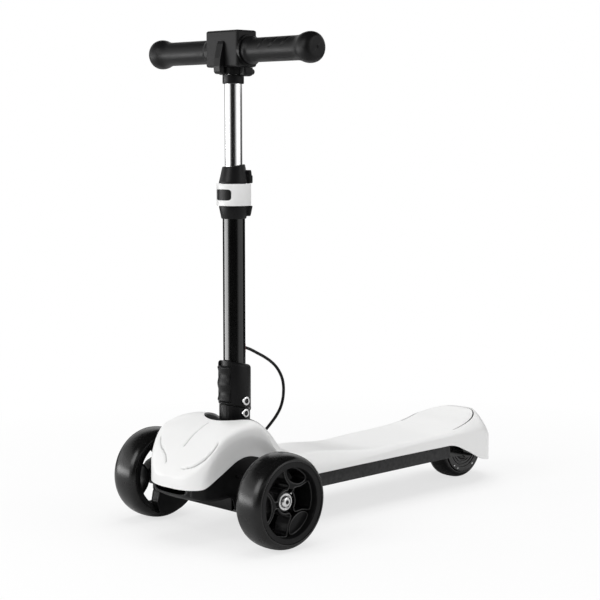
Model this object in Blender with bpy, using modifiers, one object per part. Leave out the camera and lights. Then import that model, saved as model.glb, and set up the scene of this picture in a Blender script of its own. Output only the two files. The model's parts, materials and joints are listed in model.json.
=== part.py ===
# Kids electric scooter with two leaning front wheels, a folding stem and a rear hub motor.
# Lengths are metres. Y is measured from the front axle: the nose is at -Y and the tail at +Y.
# X is across the scooter and Z is up from the ground. One empty carries the whole scooter and
# shifts it in Y, so that the model's origin is the middle of its footprint on the ground.

import bpy
import bmesh
import math
from mathutils import Matrix, Vector

MM = 0.001
DEG = math.pi / 180.0
GAP = 0.3 * MM
MERGE = 0.00005

# Overall places
NOSE_TIP_Y = -80 * MM
TAIL_END_Y = 527 * MM

# Front wheels
WHEEL_RADIUS = 60 * MM
WHEEL_WIDTH = 44 * MM
WHEEL_X = 119.25 * MM
RIM_RADIUS = 51 * MM
RIM_INNER_RADIUS = 43.5 * MM
RIM_SEAT_RADIUS = 48.5 * MM
HUB_BOSS_RADIUS = 14 * MM
SPOKE_DISC_WIDTH = 24 * MM
BEARING_RADIUS = 11 * MM
AXLE_RADIUS = 4 * MM
AXLE_HEAD_RADIUS = 10 * MM
AXLE_HEAD_THICKNESS = 3.4 * MM
HUB_BOSS_HALF = 7.5 * MM

# Steering
KINGPIN_X = 76 * MM
KINGPIN_RADIUS = 4 * MM
BARREL_RADIUS = 9 * MM
STEER_ARM_LENGTH = 24 * MM
STEER_PIN_RADIUS = 3 * MM
STEER_PIN_CLEARANCE = 1.3 * MM
TIE_ROD_BOTTOM = 41.3 * MM
TIE_ROD_THICKNESS = 5 * MM
TIE_ROD_WIDTH = 8 * MM
LUG_WIDTH = 8 * MM
LUG_HEIGHT = 9.7 * MM
LUG_CLEARANCE = 1.2 * MM

# Front beam
BEAM_BOTTOM = 36 * MM
BEAM_PLATE = 3 * MM
BEAM_EAR_BOTTOM = 80 * MM
BEAM_EAR_THICKNESS = 4 * MM
BEAM_HALF_DEPTH = 13 * MM
BEAM_EAR_X = 87 * MM
BEAM_WEB_X = 36 * MM
BEAM_CENTRE_HALF = 38 * MM
BEAM_REAR_Y = 66.5 * MM
CHEEK_THICKNESS = 4 * MM
CHEEK_FRONT_Y = 9 * MM
CHEEK_REAR_Y = 53 * MM
CHEEK_TOP = 92 * MM
CHEEK_HALF = 17 * MM

# Lean pivot
LEAN_Z = 79 * MM
LEAN_PIN_RADIUS = 4 * MM
PIN_CLEARANCE = 0.3 * MM
LEAN_HALF = 16 * MM
LEAN_TOP = 112 * MM
LEAN_LOBE_BOTTOM = 49 * MM
LEAN_LOBE_HALF = 11 * MM
BUFFER_X = 25 * MM
BUFFER_Y = 40 * MM
BUFFER_RADIUS = 6 * MM
WING_BOTTOM = 88 * MM
WING_THICKNESS = 6 * MM
WING_HALF = 32 * MM

# Stem
STEM_Y = 33 * MM
SEAM_Z = 159.1 * MM
SEAM_SLOPE = 12 * DEG
BASE_RADIUS = 20 * MM
DUST_DISC_RADIUS = 34 * MM
DUST_DISC_Z = 124 * MM
SOCKET_RADIUS = 21 * MM
SOCKET_TOP = 216.5 * MM
FOLD_Y = 50 * MM
FOLD_LUG_RADIUS = 4 * MM
FOLD_LUG_HALF = 4.2 * MM
FOLD_LUG_END = 8.6 * MM
FOLD_PIN_RADIUS = 1.6 * MM
BASE_BOLT_Z = 152.4 * MM
SOCKET_BOLT_Z = 168.4 * MM
BOLT_HEAD_RADIUS = 5.2 * MM
BOLT_HEAD_THICKNESS = 1.8 * MM
BOLT_SHANK_RADIUS = 2.4 * MM
OUTER_TUBE_RADIUS = 14.3 * MM
OUTER_TUBE_BOTTOM = 171 * MM
TUBE_WALL = 1.9 * MM
INNER_TUBE_RADIUS = 11.1 * MM
INNER_TUBE_BOTTOM = 300 * MM
BUSHING_LENGTH = 22 * MM
GROMMET_Z = 233.5 * MM
GROMMET_HALF_WIDTH = 4 * MM
GROMMET_HALF_HEIGHT = 7 * MM
GROMMET_LENGTH = 2.6 * MM
CABLE_RADIUS = 2 * MM
CABLE_CLEARANCE = 1 * MM

# Latch on the front of the stem socket
LATCH_HALF = 8 * MM
LATCH_TOP = 213 * MM
LATCH_BOTTOM = 167 * MM
LATCH_TRAVEL = 4.5 * MM
LATCH_OUT = 22 * MM
LATCH_IN = 18.6 * MM
LATCH_NOSE_HALF = 5 * MM
LATCH_NOSE_OUT = 18.6 * MM
LATCH_NOSE_IN = 16.2 * MM
LATCH_NOSE_BOTTOM = 160.5 * MM
LATCH_FOOT_TOP = 173 * MM

# Clamp on the outer tube
BAND_TOP = 446 * MM
BAND_BOTTOM = BAND_TOP - 28 * MM
CLAMP_TOP = BAND_TOP + 22 * MM
CLAMP_BOTTOM = BAND_BOTTOM - 16.7 * MM
OUTER_TUBE_TOP = BAND_TOP
BAND_RADIUS = 21.75 * MM
BAND_THICKNESS = 2.6 * MM
CLAMP_TOP_RADIUS = 14.45 * MM
CLAMP_WIDE_RADIUS = 18.9 * MM
CLAMP_CORE_RADIUS = 15.8 * MM
CLAMP_BOTTOM_RADIUS = 15.5 * MM
CLAMP_PIN_REACH = 19 * MM
CLAMP_PIN_RADIUS = 1.5 * MM
CLAMP_BARREL_RADIUS = 3 * MM
CLAMP_AZIMUTH = 45 * DEG

# Handlebar: every height of the head is set off from the height of the bar
BAR_Z = 612.5 * MM
BAR_CORE_RADIUS = 11 * MM
BAR_CORE_HALF = 141 * MM
BAR_HALF = 150 * MM
GRIP_RADIUS = 15.2 * MM
GRIP_FLANGE_RADIUS = 17.5 * MM
GRIP_START = 33 * MM
BULB_X = 138 * MM
BULB_RADIUS = 19.1 * MM
HEAD_TOP = BAR_Z + 25.1 * MM
HEAD_HALF = 29.5 * MM
HEAD_FRONT_Y = 13 * MM
HEAD_REAR_Y = 46.5 * MM
HEAD_BOTTOM = BAR_Z - 20.5 * MM
HEAD_NECK_BOTTOM = BAR_Z - 29.5 * MM
HEAD_NECK_RADIUS = 17.5 * MM
HEAD_BOSS_RADIUS = 20 * MM
HEAD_BOSS_END = 32.2 * MM
SLEEVE_RADIUS = 13.6 * MM
SLEEVE_BOTTOM = HEAD_NECK_BOTTOM - 11.6 * MM
TONGUE_HALF = 6.1 * MM
TONGUE_REACH = 8 * MM
TONGUE_TOP = BAR_Z + 12.5 * MM
INNER_TUBE_TOP = BAR_Z - BAR_CORE_RADIUS - 4.5 * MM

# Throttle
POD_LOW = (13 * MM, 29 * MM, BAR_Z - 31.9 * MM)
POD_HIGH = (26 * MM, 45 * MM, BAR_Z - 9.5 * MM)
BUTTON_X = 20.6 * MM
BUTTON_Z = BAR_Z - 26.1 * MM
BUTTON_RADIUS = 3.6 * MM
BUTTON_LENGTH = 6 * MM
BUTTON_REAR_Y = 48 * MM
BUTTON_TRAVEL = 2.5 * MM

# Deck and chassis
SHELL_WALL = 2.5 * MM
SKIRT_BOTTOM = 64.5 * MM
DECK_FRONT_Y = 104 * MM
COVER_REAR_Y = 112 * MM
TRAY_FRONT_Y = 66.8 * MM
TRAY_REAR_Y = 398 * MM
DECK_WAIST_Y = 250 * MM
TRAY_HALF = 56.5 * MM
TRAY_BOTTOM = 46 * MM
TRAY_TOP = SKIRT_BOTTOM - GAP
TRAY_WALL = 2.5 * MM
BATTERY_SIZE = (84 * MM, 180 * MM, 20 * MM)
BATTERY_Y = 200 * MM
CONTROLLER_SIZE = (60 * MM, 70 * MM, 18 * MM)
CONTROLLER_Y = 345 * MM

# Front tray under the nose
NOSE_TRAY_BOTTOM = 57 * MM
NOSE_TRAY_TOP = 80 * MM
NOSE_TRAY_REAR_Y = -16 * MM

# Rear wheel
REAR_Y = 475 * MM
REAR_RADIUS = 46 * MM
REAR_WIDTH = 34 * MM
REAR_HUB_RADIUS = 36.5 * MM
REAR_HUB_HALF = 18 * MM
STATOR_RADIUS = 27 * MM
STATOR_HALF = 11 * MM
REAR_AXLE_RADIUS = 5 * MM
FORK_X = 24 * MM
FORK_THICKNESS = 3.5 * MM
FORK_FRONT_Y = 398.4 * MM
FORK_EAR_RADIUS = 15 * MM
FORK_FLANGE = 20 * MM
FORK_FLANGE_BOTTOM = 49 * MM
FORK_FLANGE_TOP = 68 * MM
REAR_NUT_RADIUS = 8 * MM
REAR_NUT_THICKNESS = 5 * MM

# Foot brake
BRAKE_HINGE_Y = 418 * MM
BRAKE_HINGE_Z = 72 * MM
BRAKE_PIN_RADIUS = 2.5 * MM
BRAKE_FRONT_Y = 412 * MM
BRAKE_ARC_Y = 436 * MM
BRAKE_HALF = 49 * MM
BRAKE_ARC_REACH = 54 * MM
BRAKE_SLOT = 2.0 * MM
BRAKE_PAD_BOTTOM = 94.6 * MM
BRAKE_LUG_X = 14 * MM
BRAKE_LUG_THICKNESS = 4 * MM

WHITE = (0.86, 0.86, 0.85)
BLACK = (0.02, 0.02, 0.022)
DARK = (0.045, 0.045, 0.048)
STEEL = (0.62, 0.62, 0.64)
CHROME = (0.82, 0.82, 0.83)
RED = (0.35, 0.03, 0.03)
BLUE = (0.05, 0.12, 0.35)
GREEN = (0.03, 0.18, 0.08)

for old in list(bpy.data.objects):
    bpy.data.objects.remove(old, do_unlink=True)

parts = bpy.data.collections.new("kids_electric_scooter")
cutters = bpy.data.collections.new("cutters")
bpy.context.scene.collection.children.link(parts)
bpy.context.scene.collection.children.link(cutters)


def material(name, colour, roughness, metallic=0.0):
    made = bpy.data.materials.new(name)
    made.use_nodes = True
    shader = made.node_tree.nodes["Principled BSDF"]
    shader.inputs["Base Color"].default_value = (*colour, 1.0)
    shader.inputs["Roughness"].default_value = roughness
    shader.inputs["Metallic"].default_value = metallic
    return made


def pivot(name, place, parent=None):
    empty = bpy.data.objects.new(name, None)
    empty.empty_display_size = 0.02
    parts.objects.link(empty)
    empty["place"] = [float(v) for v in place]
    start = Vector(parent["place"]) if parent else Vector((0, 0, 0))
    empty.parent = parent
    empty.location = Vector(place) - start
    return empty


frame = pivot("scooter_frame", (0, 0, 0))
frame.location.y = -(NOSE_TIP_Y + TAIL_END_Y) / 2


def finish(obj, carrier, colour, roughness=0.4, metallic=0.0, smooth=35):
    """Give a finished piece its material and hang it on the empty that carries it."""
    obj.data.materials.clear()
    obj.data.materials.append(material(obj.name, colour, roughness, metallic))
    obj.parent = carrier
    obj.location = Vector(obj.location) - Vector(carrier["place"])
    if obj.type == "MESH" and len(obj.data.polygons):
        obj.data.shade_smooth()
        obj.data.set_sharp_from_angle(angle=smooth * DEG)
    return obj


def mesh_object(name, bm, collection=None):
    mesh = bpy.data.meshes.new(name)
    bm.to_mesh(mesh)
    bm.free()
    obj = bpy.data.objects.new(name, mesh)
    (collection or parts).objects.link(obj)
    if collection is cutters:
        obj.hide_render = True
        obj.display_type = "WIRE"
    return obj


def block(name, low, high, collection=None):
    """A box between two corners."""
    bm = bmesh.new()
    low = Vector(low)
    high = Vector(high)
    bmesh.ops.create_cube(bm, size=1.0)
    bmesh.ops.scale(bm, vec=high - low, verts=bm.verts)
    bmesh.ops.translate(bm, vec=(high + low) / 2, verts=bm.verts)
    return mesh_object(name, bm, collection)


def rod(name, start, end, radius, steps=24, collection=None, end_radius=None):
    """A round bar or a cone between two points."""
    start = Vector(start)
    end = Vector(end)
    axis = end - start
    turn = axis.to_track_quat("Z", "Y").to_matrix().to_4x4()
    bm = bmesh.new()
    bmesh.ops.create_cone(
        bm, cap_ends=True, segments=steps, radius1=radius,
        radius2=radius if end_radius is None else end_radius, depth=axis.length,
        matrix=Matrix.Translation((start + end) / 2) @ turn)
    return mesh_object(name, bm, collection)


def turned(name, profile, place, axis="Z", steps=32, closed=False, collection=None):
    """A turned piece: the profile is (radius, height) from top to bottom along the axis."""
    bm = bmesh.new()
    verts = [bm.verts.new((r, 0, h)) for r, h in profile]
    for a, b in zip(verts, verts[1:]):
        bm.edges.new((a, b))
    if closed:
        bm.edges.new((verts[-1], verts[0]))
    obj = mesh_object(name, bm, collection)
    screw = obj.modifiers.new("turn", "SCREW")
    screw.axis = "Z"
    screw.steps = steps
    screw.render_steps = steps
    screw.use_merge_vertices = True
    screw.merge_threshold = MERGE
    screw.use_smooth_shade = True
    obj.location = place
    if axis == "X":
        obj.rotation_euler = (0, math.pi / 2, 0)
    elif axis == "-X":
        obj.rotation_euler = (0, -math.pi / 2, 0)
    elif axis == "Y":
        obj.rotation_euler = (-math.pi / 2, 0, 0)
    return obj


def plate(name, outlines, low, high, axis="Z", collection=None):
    """A flat outline with holes, thick from low to high along its axis."""
    curve = bpy.data.curves.new(name, "CURVE")
    curve.dimensions = "2D"
    curve.fill_mode = "BOTH"
    curve.extrude = (high - low) / 2
    for points in outlines:
        spline = curve.splines.new("POLY")
        spline.points.add(len(points) - 1)
        for target, (a, b) in zip(spline.points, points):
            target.co = (a, b, 0, 1)
        spline.use_cyclic_u = True
    source = bpy.data.objects.new(name + "_outline", curve)
    cutters.objects.link(source)
    middle = (high + low) / 2
    if axis == "Z":
        source.matrix_world = Matrix.Translation((0, 0, middle))
    else:
        # The outline is read as (y, z) and the thickness runs along X
        turn = Matrix(((0, 0, 1, middle), (1, 0, 0, 0), (0, 1, 0, 0), (0, 0, 0, 1)))
        source.matrix_world = turn
    bpy.context.view_layer.update()
    graph = bpy.context.evaluated_depsgraph_get()
    mesh = bpy.data.meshes.new_from_object(source.evaluated_get(graph))
    mesh.transform(source.matrix_world)
    bpy.data.objects.remove(source, do_unlink=True)
    bm = bmesh.new()
    bm.from_mesh(mesh)
    bmesh.ops.remove_doubles(bm, verts=bm.verts, dist=MERGE / 10)
    bmesh.ops.recalc_face_normals(bm, faces=bm.faces)
    bpy.data.meshes.remove(mesh)
    return mesh_object(name, bm, collection)


def boolean(obj, tool, operation):
    if tool.name not in cutters.objects:
        for home in list(tool.users_collection):
            home.objects.unlink(tool)
        cutters.objects.link(tool)
    tool.hide_render = True
    tool.display_type = "WIRE"
    tool.hide_viewport = False
    # The piece is modelled where it stands, so its tools stay in the same place
    modifier = obj.modifiers.new(operation.lower(), "BOOLEAN")
    modifier.operation = operation
    modifier.object = tool
    tools_of.setdefault(obj.name, []).append(tool)
    return obj


tools_of = {}


def cut(obj, *tools):
    for tool in tools:
        boolean(obj, tool, "DIFFERENCE")
    return obj


def join(obj, *tools):
    for tool in tools:
        boolean(obj, tool, "UNION")
    return obj


def bevel(obj, width, segments=2, angle=40):
    modifier = obj.modifiers.new("edges", "BEVEL")
    modifier.width = width
    modifier.segments = segments
    modifier.limit_method = "ANGLE"
    modifier.angle_limit = angle * DEG
    modifier.use_clamp_overlap = True
    return obj


def bake(obj):
    """Settle the modifiers into the mesh, and drop the tools that they used."""
    bpy.context.view_layer.update()
    graph = bpy.context.evaluated_depsgraph_get()
    mesh = bpy.data.meshes.new_from_object(obj.evaluated_get(graph))
    mesh.transform(obj.matrix_world)
    obj.modifiers.clear()
    obj.data = mesh
    obj.matrix_world = Matrix.Identity(4)
    for tool in tools_of.pop(obj.name, []):
        bpy.data.objects.remove(tool, do_unlink=True)
    return obj


def weld(obj, distance=0.00002):
    bm = bmesh.new()
    bm.from_mesh(obj.data)
    bmesh.ops.remove_doubles(bm, verts=bm.verts, dist=distance)
    bmesh.ops.dissolve_degenerate(bm, edges=bm.edges, dist=distance)
    bm.to_mesh(obj.data)
    bm.free()
    return obj


def along(points, value):
    """Read a smooth line through (place, size) points at one place."""
    if value <= points[0][0]:
        return points[0][1]
    if value >= points[-1][0]:
        return points[-1][1]
    for i in range(len(points) - 1):
        if points[i][0] <= value <= points[i + 1][0]:
            break
    before = points[max(i - 1, 0)]
    start = points[i]
    end = points[i + 1]
    after = points[min(i + 2, len(points) - 1)]
    span = end[0] - start[0]
    t = (value - start[0]) / span
    slope_in = (end[1] - before[1]) / (end[0] - before[0]) * span
    slope_out = (after[1] - start[1]) / (after[0] - start[0]) * span
    return ((2 * t ** 3 - 3 * t ** 2 + 1) * start[1] + (t ** 3 - 2 * t ** 2 + t) * slope_in
            + (-2 * t ** 3 + 3 * t ** 2) * end[1] + (t ** 3 - t ** 2) * slope_out)


def loft(name, sections, collection=None, cap_first=False, cap_last=False):
    """An open skin through equal half sections, mirrored across X = 0."""
    bm = bmesh.new()
    rings = []
    for half in sections:
        left = [Vector((-p.x, p.y, p.z)) for p in reversed(half) if p.x > 1e-6]
        rings.append([bm.verts.new(p) for p in left + list(half)])
    for a, b in zip(rings, rings[1:]):
        for i in range(len(a) - 1):
            bm.faces.new((a[i], a[i + 1], b[i + 1], b[i]))
    if cap_first:
        bm.faces.new(rings[0])
    if cap_last:
        bm.faces.new(rings[-1])
    bmesh.ops.recalc_face_normals(bm, faces=bm.faces)
    bm.faces.ensure_lookup_table()
    # The middle face of the skin looks up
    top = max(bm.faces, key=lambda f: f.calc_center_median().z)
    if top.normal.z < 0:
        bmesh.ops.reverse_faces(bm, faces=bm.faces)
    return mesh_object(name, bm, collection)


def shell(obj, wall):
    modifier = obj.modifiers.new("wall", "SOLIDIFY")
    modifier.thickness = wall
    modifier.offset = -1.0
    modifier.use_even_offset = True
    modifier.use_rim = True
    return obj


# Lines of the nose cover, as (Y, height or reach) points
COVER_TOP = [(NOSE_TIP_Y, 84 * MM), (-74 * MM, 95 * MM), (-64 * MM, 109 * MM), (-50 * MM, 122.5 * MM),
             (-35 * MM, 133.5 * MM), (-12 * MM, 144 * MM), (12 * MM, 147 * MM), (35 * MM, 146 * MM),
             (47 * MM, 143.5 * MM), (58 * MM, 138.5 * MM), (70 * MM, 130 * MM), (81 * MM, 119 * MM),
             (91 * MM, 107 * MM), (100 * MM, 98 * MM), (COVER_REAR_Y, 92.5 * MM)]
COVER_EDGE = [(NOSE_TIP_Y, 70 * MM), (-64 * MM, 73 * MM), (-52 * MM, 80 * MM), (-38 * MM, 88 * MM),
              (-24 * MM, 96 * MM), (-10 * MM, 102.5 * MM), (5 * MM, 105 * MM), (20 * MM, 102.5 * MM),
              (35 * MM, 96 * MM), (50 * MM, 85 * MM), (62 * MM, 74 * MM), (72 * MM, 66 * MM),
              (84 * MM, 63 * MM), (COVER_REAR_Y, 63 * MM)]
COVER_CREASE = [(NOSE_TIP_Y, 77 * MM), (-64 * MM, 95 * MM), (-52 * MM, 112 * MM), (-40 * MM, 124 * MM),
                (-20 * MM, 131.5 * MM), (0, 133.5 * MM), (15 * MM, 131 * MM), (30 * MM, 124 * MM),
                (46 * MM, 110 * MM), (58 * MM, 96 * MM), (72 * MM, 84 * MM), (90 * MM, 78 * MM),
                (COVER_REAR_Y, 76 * MM)]
# How far the flanks of the wheel arches rise above the middle line
COVER_LIFT = [(-70 * MM, 0.0), (-56 * MM, 5 * MM), (-42 * MM, 10 * MM), (-24 * MM, 7 * MM),
              (-4 * MM, 4 * MM), (20 * MM, 3 * MM), (40 * MM, 0.0)]
COVER_SCOOP = [(-66 * MM, 0.0), (-46 * MM, 6 * MM), (-30 * MM, 7.5 * MM), (25 * MM, 7.5 * MM),
               (45 * MM, 5 * MM), (62 * MM, 0.0)]
COVER_HALF = 62.5 * MM
COVER_PLAN_POWER = 2.8
COVER_PLAN_START = -18 * MM
COVER_POWER = 4.5
COVER_REAR_SWEEP = 44 * MM
COVER_REAR_START = 8 * MM
COVER_REAR_BLEND = 36 * MM
COVER_STEPS = (0.0, 0.25, 0.5, 0.7, 0.84, 0.93, 0.98, 1.0)
OPENING_HALF = 38 * MM
OPENING_FRONT_Y = -4 * MM
OPENING_MIDDLE_Y = 24 * MM
OPENING_REAR_Y = 54.5 * MM
OPENING_CORNER = 20 * MM

# Lines of the deck shell
DECK_TOP = [(DECK_FRONT_Y, 88 * MM), (COVER_REAR_Y, 88.5 * MM), (130 * MM, 89 * MM), (160 * MM, 88 * MM),
            (200 * MM, 83.5 * MM), (222 * MM, 81 * MM), (250 * MM, 79.3 * MM), (309 * MM, 80.3 * MM),
            (370 * MM, 81.2 * MM), (400 * MM, 82.8 * MM), (430 * MM, 88 * MM), (455 * MM, 96 * MM),
            (475 * MM, 101 * MM), (490 * MM, 102 * MM), (501 * MM, 100.5 * MM), (511 * MM, 96.5 * MM),
            (520 * MM, 89.5 * MM), (TAIL_END_Y, 80 * MM)]
DECK_SIDE = [(DECK_FRONT_Y, 57.5 * MM), (169 * MM, 57 * MM), (222 * MM, 56.6 * MM), (309 * MM, 57 * MM),
             (370 * MM, 58 * MM), (405 * MM, 60 * MM), (440 * MM, 62 * MM)]
DECK_EDGE = [(DECK_FRONT_Y, SKIRT_BOTTOM), (250 * MM, SKIRT_BOTTOM), (380 * MM, SKIRT_BOTTOM),
             (397 * MM, SKIRT_BOTTOM), (412 * MM, 61 * MM), (422 * MM, 56.5 * MM), (434 * MM, 51 * MM),
             (446 * MM, 45 * MM), (459 * MM, 39 * MM), (475 * MM, 33.5 * MM), (490 * MM, 30 * MM),
             (505 * MM, 27.5 * MM), (TAIL_END_Y, 26 * MM)]
# Upper edge of the side wall, and how far the shoulder above it reaches inward
DECK_CREASE = [(DECK_FRONT_Y, 66.5 * MM), (130 * MM, 67 * MM), (201 * MM, 69.5 * MM), (253 * MM, 72.5 * MM),
               (306 * MM, 74.5 * MM), (358 * MM, 76 * MM), (400 * MM, 77.5 * MM), (436 * MM, 78 * MM),
               (460 * MM, 76 * MM), (482 * MM, 73 * MM), (505 * MM, 64 * MM), (TAIL_END_Y, 58 * MM)]
DECK_SHOULDER = [(DECK_FRONT_Y, 26 * MM), (130 * MM, 25 * MM), (201 * MM, 20 * MM), (253 * MM, 14 * MM),
                 (306 * MM, 9 * MM), (400 * MM, 9 * MM), (430 * MM, 14 * MM), (455 * MM, 21 * MM),
                 (480 * MM, 28 * MM), (500 * MM, 34 * MM)]
DECK_POWER = [(440 * MM, 2.0), (480 * MM, 1.45), (495 * MM, 1.3)]
TAIL_PLAN_Y = 440 * MM
TAIL_MIN_HALF = 9 * MM
STATION_STEP = 30 * MM
TAIL_STEP = 22 * MM
TAIL_STATIONS = [TAIL_END_Y - TAIL_STEP, TAIL_END_Y - 12 * MM, TAIL_END_Y - 5 * MM, TAIL_END_Y]


def cover_half(y, inset=0.0):
    """Half width of the nose cover, round in plan at the front."""
    if y >= COVER_PLAN_START:
        return COVER_HALF - inset
    share = min((COVER_PLAN_START - y) / (COVER_PLAN_START - NOSE_TIP_Y - inset), 0.985)
    return (COVER_HALF - inset) * (1 - share ** COVER_PLAN_POWER) ** (1 / COVER_PLAN_POWER)


def cover_section(y):
    """Half section of the cover: its top, the arch over the wheel and the scoop below it."""
    half = cover_half(y)
    edge = along(COVER_EDGE, y)
    crease = along(COVER_CREASE, y)
    scoop = along(COVER_SCOOP, y)
    lift = along(COVER_LIFT, y)
    swept = min(max((y - COVER_REAR_START) / COVER_REAR_BLEND, 0), 1) * COVER_REAR_SWEEP
    points = []
    for share in COVER_STEPS:
        x = half * share
        reach = x / COVER_HALF
        top = along(COVER_TOP, y + swept * reach ** 2) + lift * reach ** 1.5
        fall = (1 - share ** COVER_POWER) ** (1 / COVER_POWER)
        points.append(Vector((x, y, crease + (max(top, crease) - crease) * fall)))
    depth = crease - edge
    points.append(Vector((half - 0.6 * scoop, y, crease - min(3.5 * MM, 0.2 * depth))))
    points.append(Vector((half - scoop, y, crease - min(11 * MM, 0.5 * depth))))
    points.append(Vector((half - scoop, y, edge)))
    return points


def deck_half(y):
    if y <= TAIL_PLAN_Y:
        return along(DECK_SIDE, y)
    share = (y - TAIL_PLAN_Y) / (TAIL_END_Y - TAIL_PLAN_Y)
    widest = DECK_SIDE[-1][1]
    return max(widest * math.sqrt(max(1 - share ** 2, 0)), TAIL_MIN_HALF)


def deck_section(y, arc_steps=5):
    """Half section of the deck: flat top, shoulder and upright side wall."""
    half = deck_half(y)
    top = along(DECK_TOP, y)
    crease = along(DECK_CREASE, y)
    shoulder = min(along(DECK_SHOULDER, y), half * 0.9)
    power = 2 / along(DECK_POWER, y)
    inner = half - shoulder
    points = [Vector((0, y, top)), Vector((inner * 0.6, y, top))]
    for k in range(arc_steps + 1):
        a = math.pi / 2 * k / arc_steps
        points.append(Vector((inner + shoulder * math.sin(a) ** power, y,
                              crease + (top - crease) * max(math.cos(a), 0) ** power)))
    points.append(Vector((half, y, along(DECK_EDGE, y))))
    return points


def stations(places, step):
    """Places from the first to the last, no further apart than the step."""
    out = [places[0]]
    for start, end in zip(places, places[1:]):
        count = max(1, math.ceil((end - start) / step - 1e-6))
        out += [start + (end - start) * (k + 1) / count for k in range(count)]
    return out


def ellipse(x, y, a, b, start=0.0, end=2 * math.pi, steps=32, whole=True):
    count = steps if whole else steps + 1
    return [(x + a * math.cos(start + (end - start) * k / steps),
             y + b * math.sin(start + (end - start) * k / steps)) for k in range(count)]


def brake_outline(grow):
    """U outline of the foot brake, straight across its hinge edge."""
    points = [(BRAKE_HALF + grow, BRAKE_FRONT_Y)]
    points += ellipse(0, BRAKE_ARC_Y, BRAKE_HALF + grow, BRAKE_ARC_REACH + grow, 0, math.pi,
                      16, whole=False)
    points.append((-BRAKE_HALF - grow, BRAKE_FRONT_Y))
    return points


def make_nose_cover():
    rows = [cover_section(y) for y in stations(
        [NOSE_TIP_Y, -78 * MM, -74 * MM, -68 * MM, -60 * MM, 60 * MM, COVER_REAR_Y], 14 * MM)]
    cover = bake(shell(loft("nose_cover", rows, cap_first=True), SHELL_WALL))
    outline = ellipse(0, OPENING_MIDDLE_Y, OPENING_HALF, OPENING_MIDDLE_Y - OPENING_FRONT_Y,
                      math.pi, 2 * math.pi, 14, whole=False)
    for side, start in ((1, 0), (-1, math.pi / 2)):
        outline += ellipse(side * (OPENING_HALF - OPENING_CORNER), OPENING_REAR_Y - OPENING_CORNER,
                           OPENING_CORNER, OPENING_CORNER, start, start + math.pi / 2, 5, whole=False)
    opening = plate("stem_slot", [outline], COVER_EDGE[6][1] + 10 * MM, COVER_TOP[6][1] + 20 * MM,
                    collection=cutters)
    cable_end = Vector((0, *CABLE_POINTS[-1]))
    cable_way = Vector((0, *CABLE_POINTS[-2])) - cable_end
    cable_hole = rod("cable_hole", cable_end - cable_way, cable_end + 3 * cable_way,
                     CABLE_RADIUS + CABLE_CLEARANCE, 12, cutters)
    cut(cover, opening, cable_hole)
    return finish(weld(bake(cover)), frame, WHITE, 0.25)


def make_deck_shell():
    rows = [deck_section(y) for y in stations(
        [DECK_FRONT_Y, DECK_WAIST_Y, BRAKE_FRONT_Y - TAIL_STEP] + TAIL_STATIONS, STATION_STEP)]
    deck = bake(shell(loft("deck_shell", rows, cap_last=True), SHELL_WALL))
    pedal_slot = plate("pedal_slot", [brake_outline(BRAKE_SLOT)], BRAKE_HINGE_Z + 3 * MM,
                       DECK_TOP[-4][1] + 20 * MM, collection=cutters)
    return finish(weld(bake(cut(deck, pedal_slot))), frame, WHITE, 0.25)


def make_brake_pedal(carrier):
    rows = [deck_section(y) for y in stations(
        [BRAKE_FRONT_Y - 22 * MM] + TAIL_STATIONS, 30 * MM)]
    pedal = bake(shell(loft("brake_pedal", rows, cap_last=True), SHELL_WALL))
    keep = plate("pedal_form", [brake_outline(0.0)], BRAKE_HINGE_Z + 3 * MM,
                 DECK_TOP[-4][1] + 20 * MM, collection=cutters)
    for point in keep.data.vertices:
        point.co.y = max(point.co.y, BRAKE_FRONT_Y + GAP)
    bake(boolean(pedal, keep, "INTERSECT"))
    under = along(DECK_TOP, BRAKE_HINGE_Y) - SHELL_WALL / 2
    for side in (-1, 1):
        low = min(side * BRAKE_LUG_X, side * (BRAKE_LUG_X + BRAKE_LUG_THICKNESS))
        join(pedal, block("pedal_lug", (low, BRAKE_HINGE_Y - 5 * MM, BRAKE_HINGE_Z - 5 * MM),
                          (low + BRAKE_LUG_THICKNESS, BRAKE_HINGE_Y + 7 * MM, under), cutters))
    pad_under = along(DECK_TOP, REAR_Y) - SHELL_WALL / 2
    join(pedal, block("brake_pad", (-12 * MM, REAR_Y - 9 * MM, BRAKE_PAD_BOTTOM),
                      (12 * MM, REAR_Y + 6 * MM, pad_under - 1 * MM), cutters))
    cut(pedal, rod("pedal_bore", (-BRAKE_HALF, BRAKE_HINGE_Y, BRAKE_HINGE_Z),
                   (BRAKE_HALF, BRAKE_HINGE_Y, BRAKE_HINGE_Z), BRAKE_PIN_RADIUS + PIN_CLEARANCE, 16,
                   cutters))
    return finish(weld(bake(pedal)), carrier, WHITE, 0.25)


def make_front_tray():
    """Black tray that closes the nose from below and shows as a lip under the cover."""
    clear = SHELL_WALL + 0.5 * MM
    places = stations([NOSE_TIP_Y + clear + 0.8 * MM, NOSE_TIP_Y + 7 * MM, NOSE_TIP_Y + 14 * MM,
                       NOSE_TRAY_REAR_Y], 11 * MM)
    front = [(cover_half(y, clear) - along(COVER_SCOOP, y), y) for y in places]
    places[0] += TRAY_WALL
    places[-1] -= TRAY_WALL
    back = [(cover_half(y, clear + TRAY_WALL) - along(COVER_SCOOP, y), y) for y in places]
    outline = front + [(-x, y) for x, y in reversed(front)]
    hollow = back + [(-x, y) for x, y in reversed(back)]
    tray = plate("front_tray", [outline], NOSE_TRAY_BOTTOM, NOSE_TRAY_TOP)
    cut(tray, plate("tray_hollow", [hollow], NOSE_TRAY_BOTTOM + TRAY_WALL, NOSE_TRAY_TOP + 5 * MM,
                    collection=cutters))
    return finish(bake(tray), frame, BLACK, 0.5)


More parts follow.
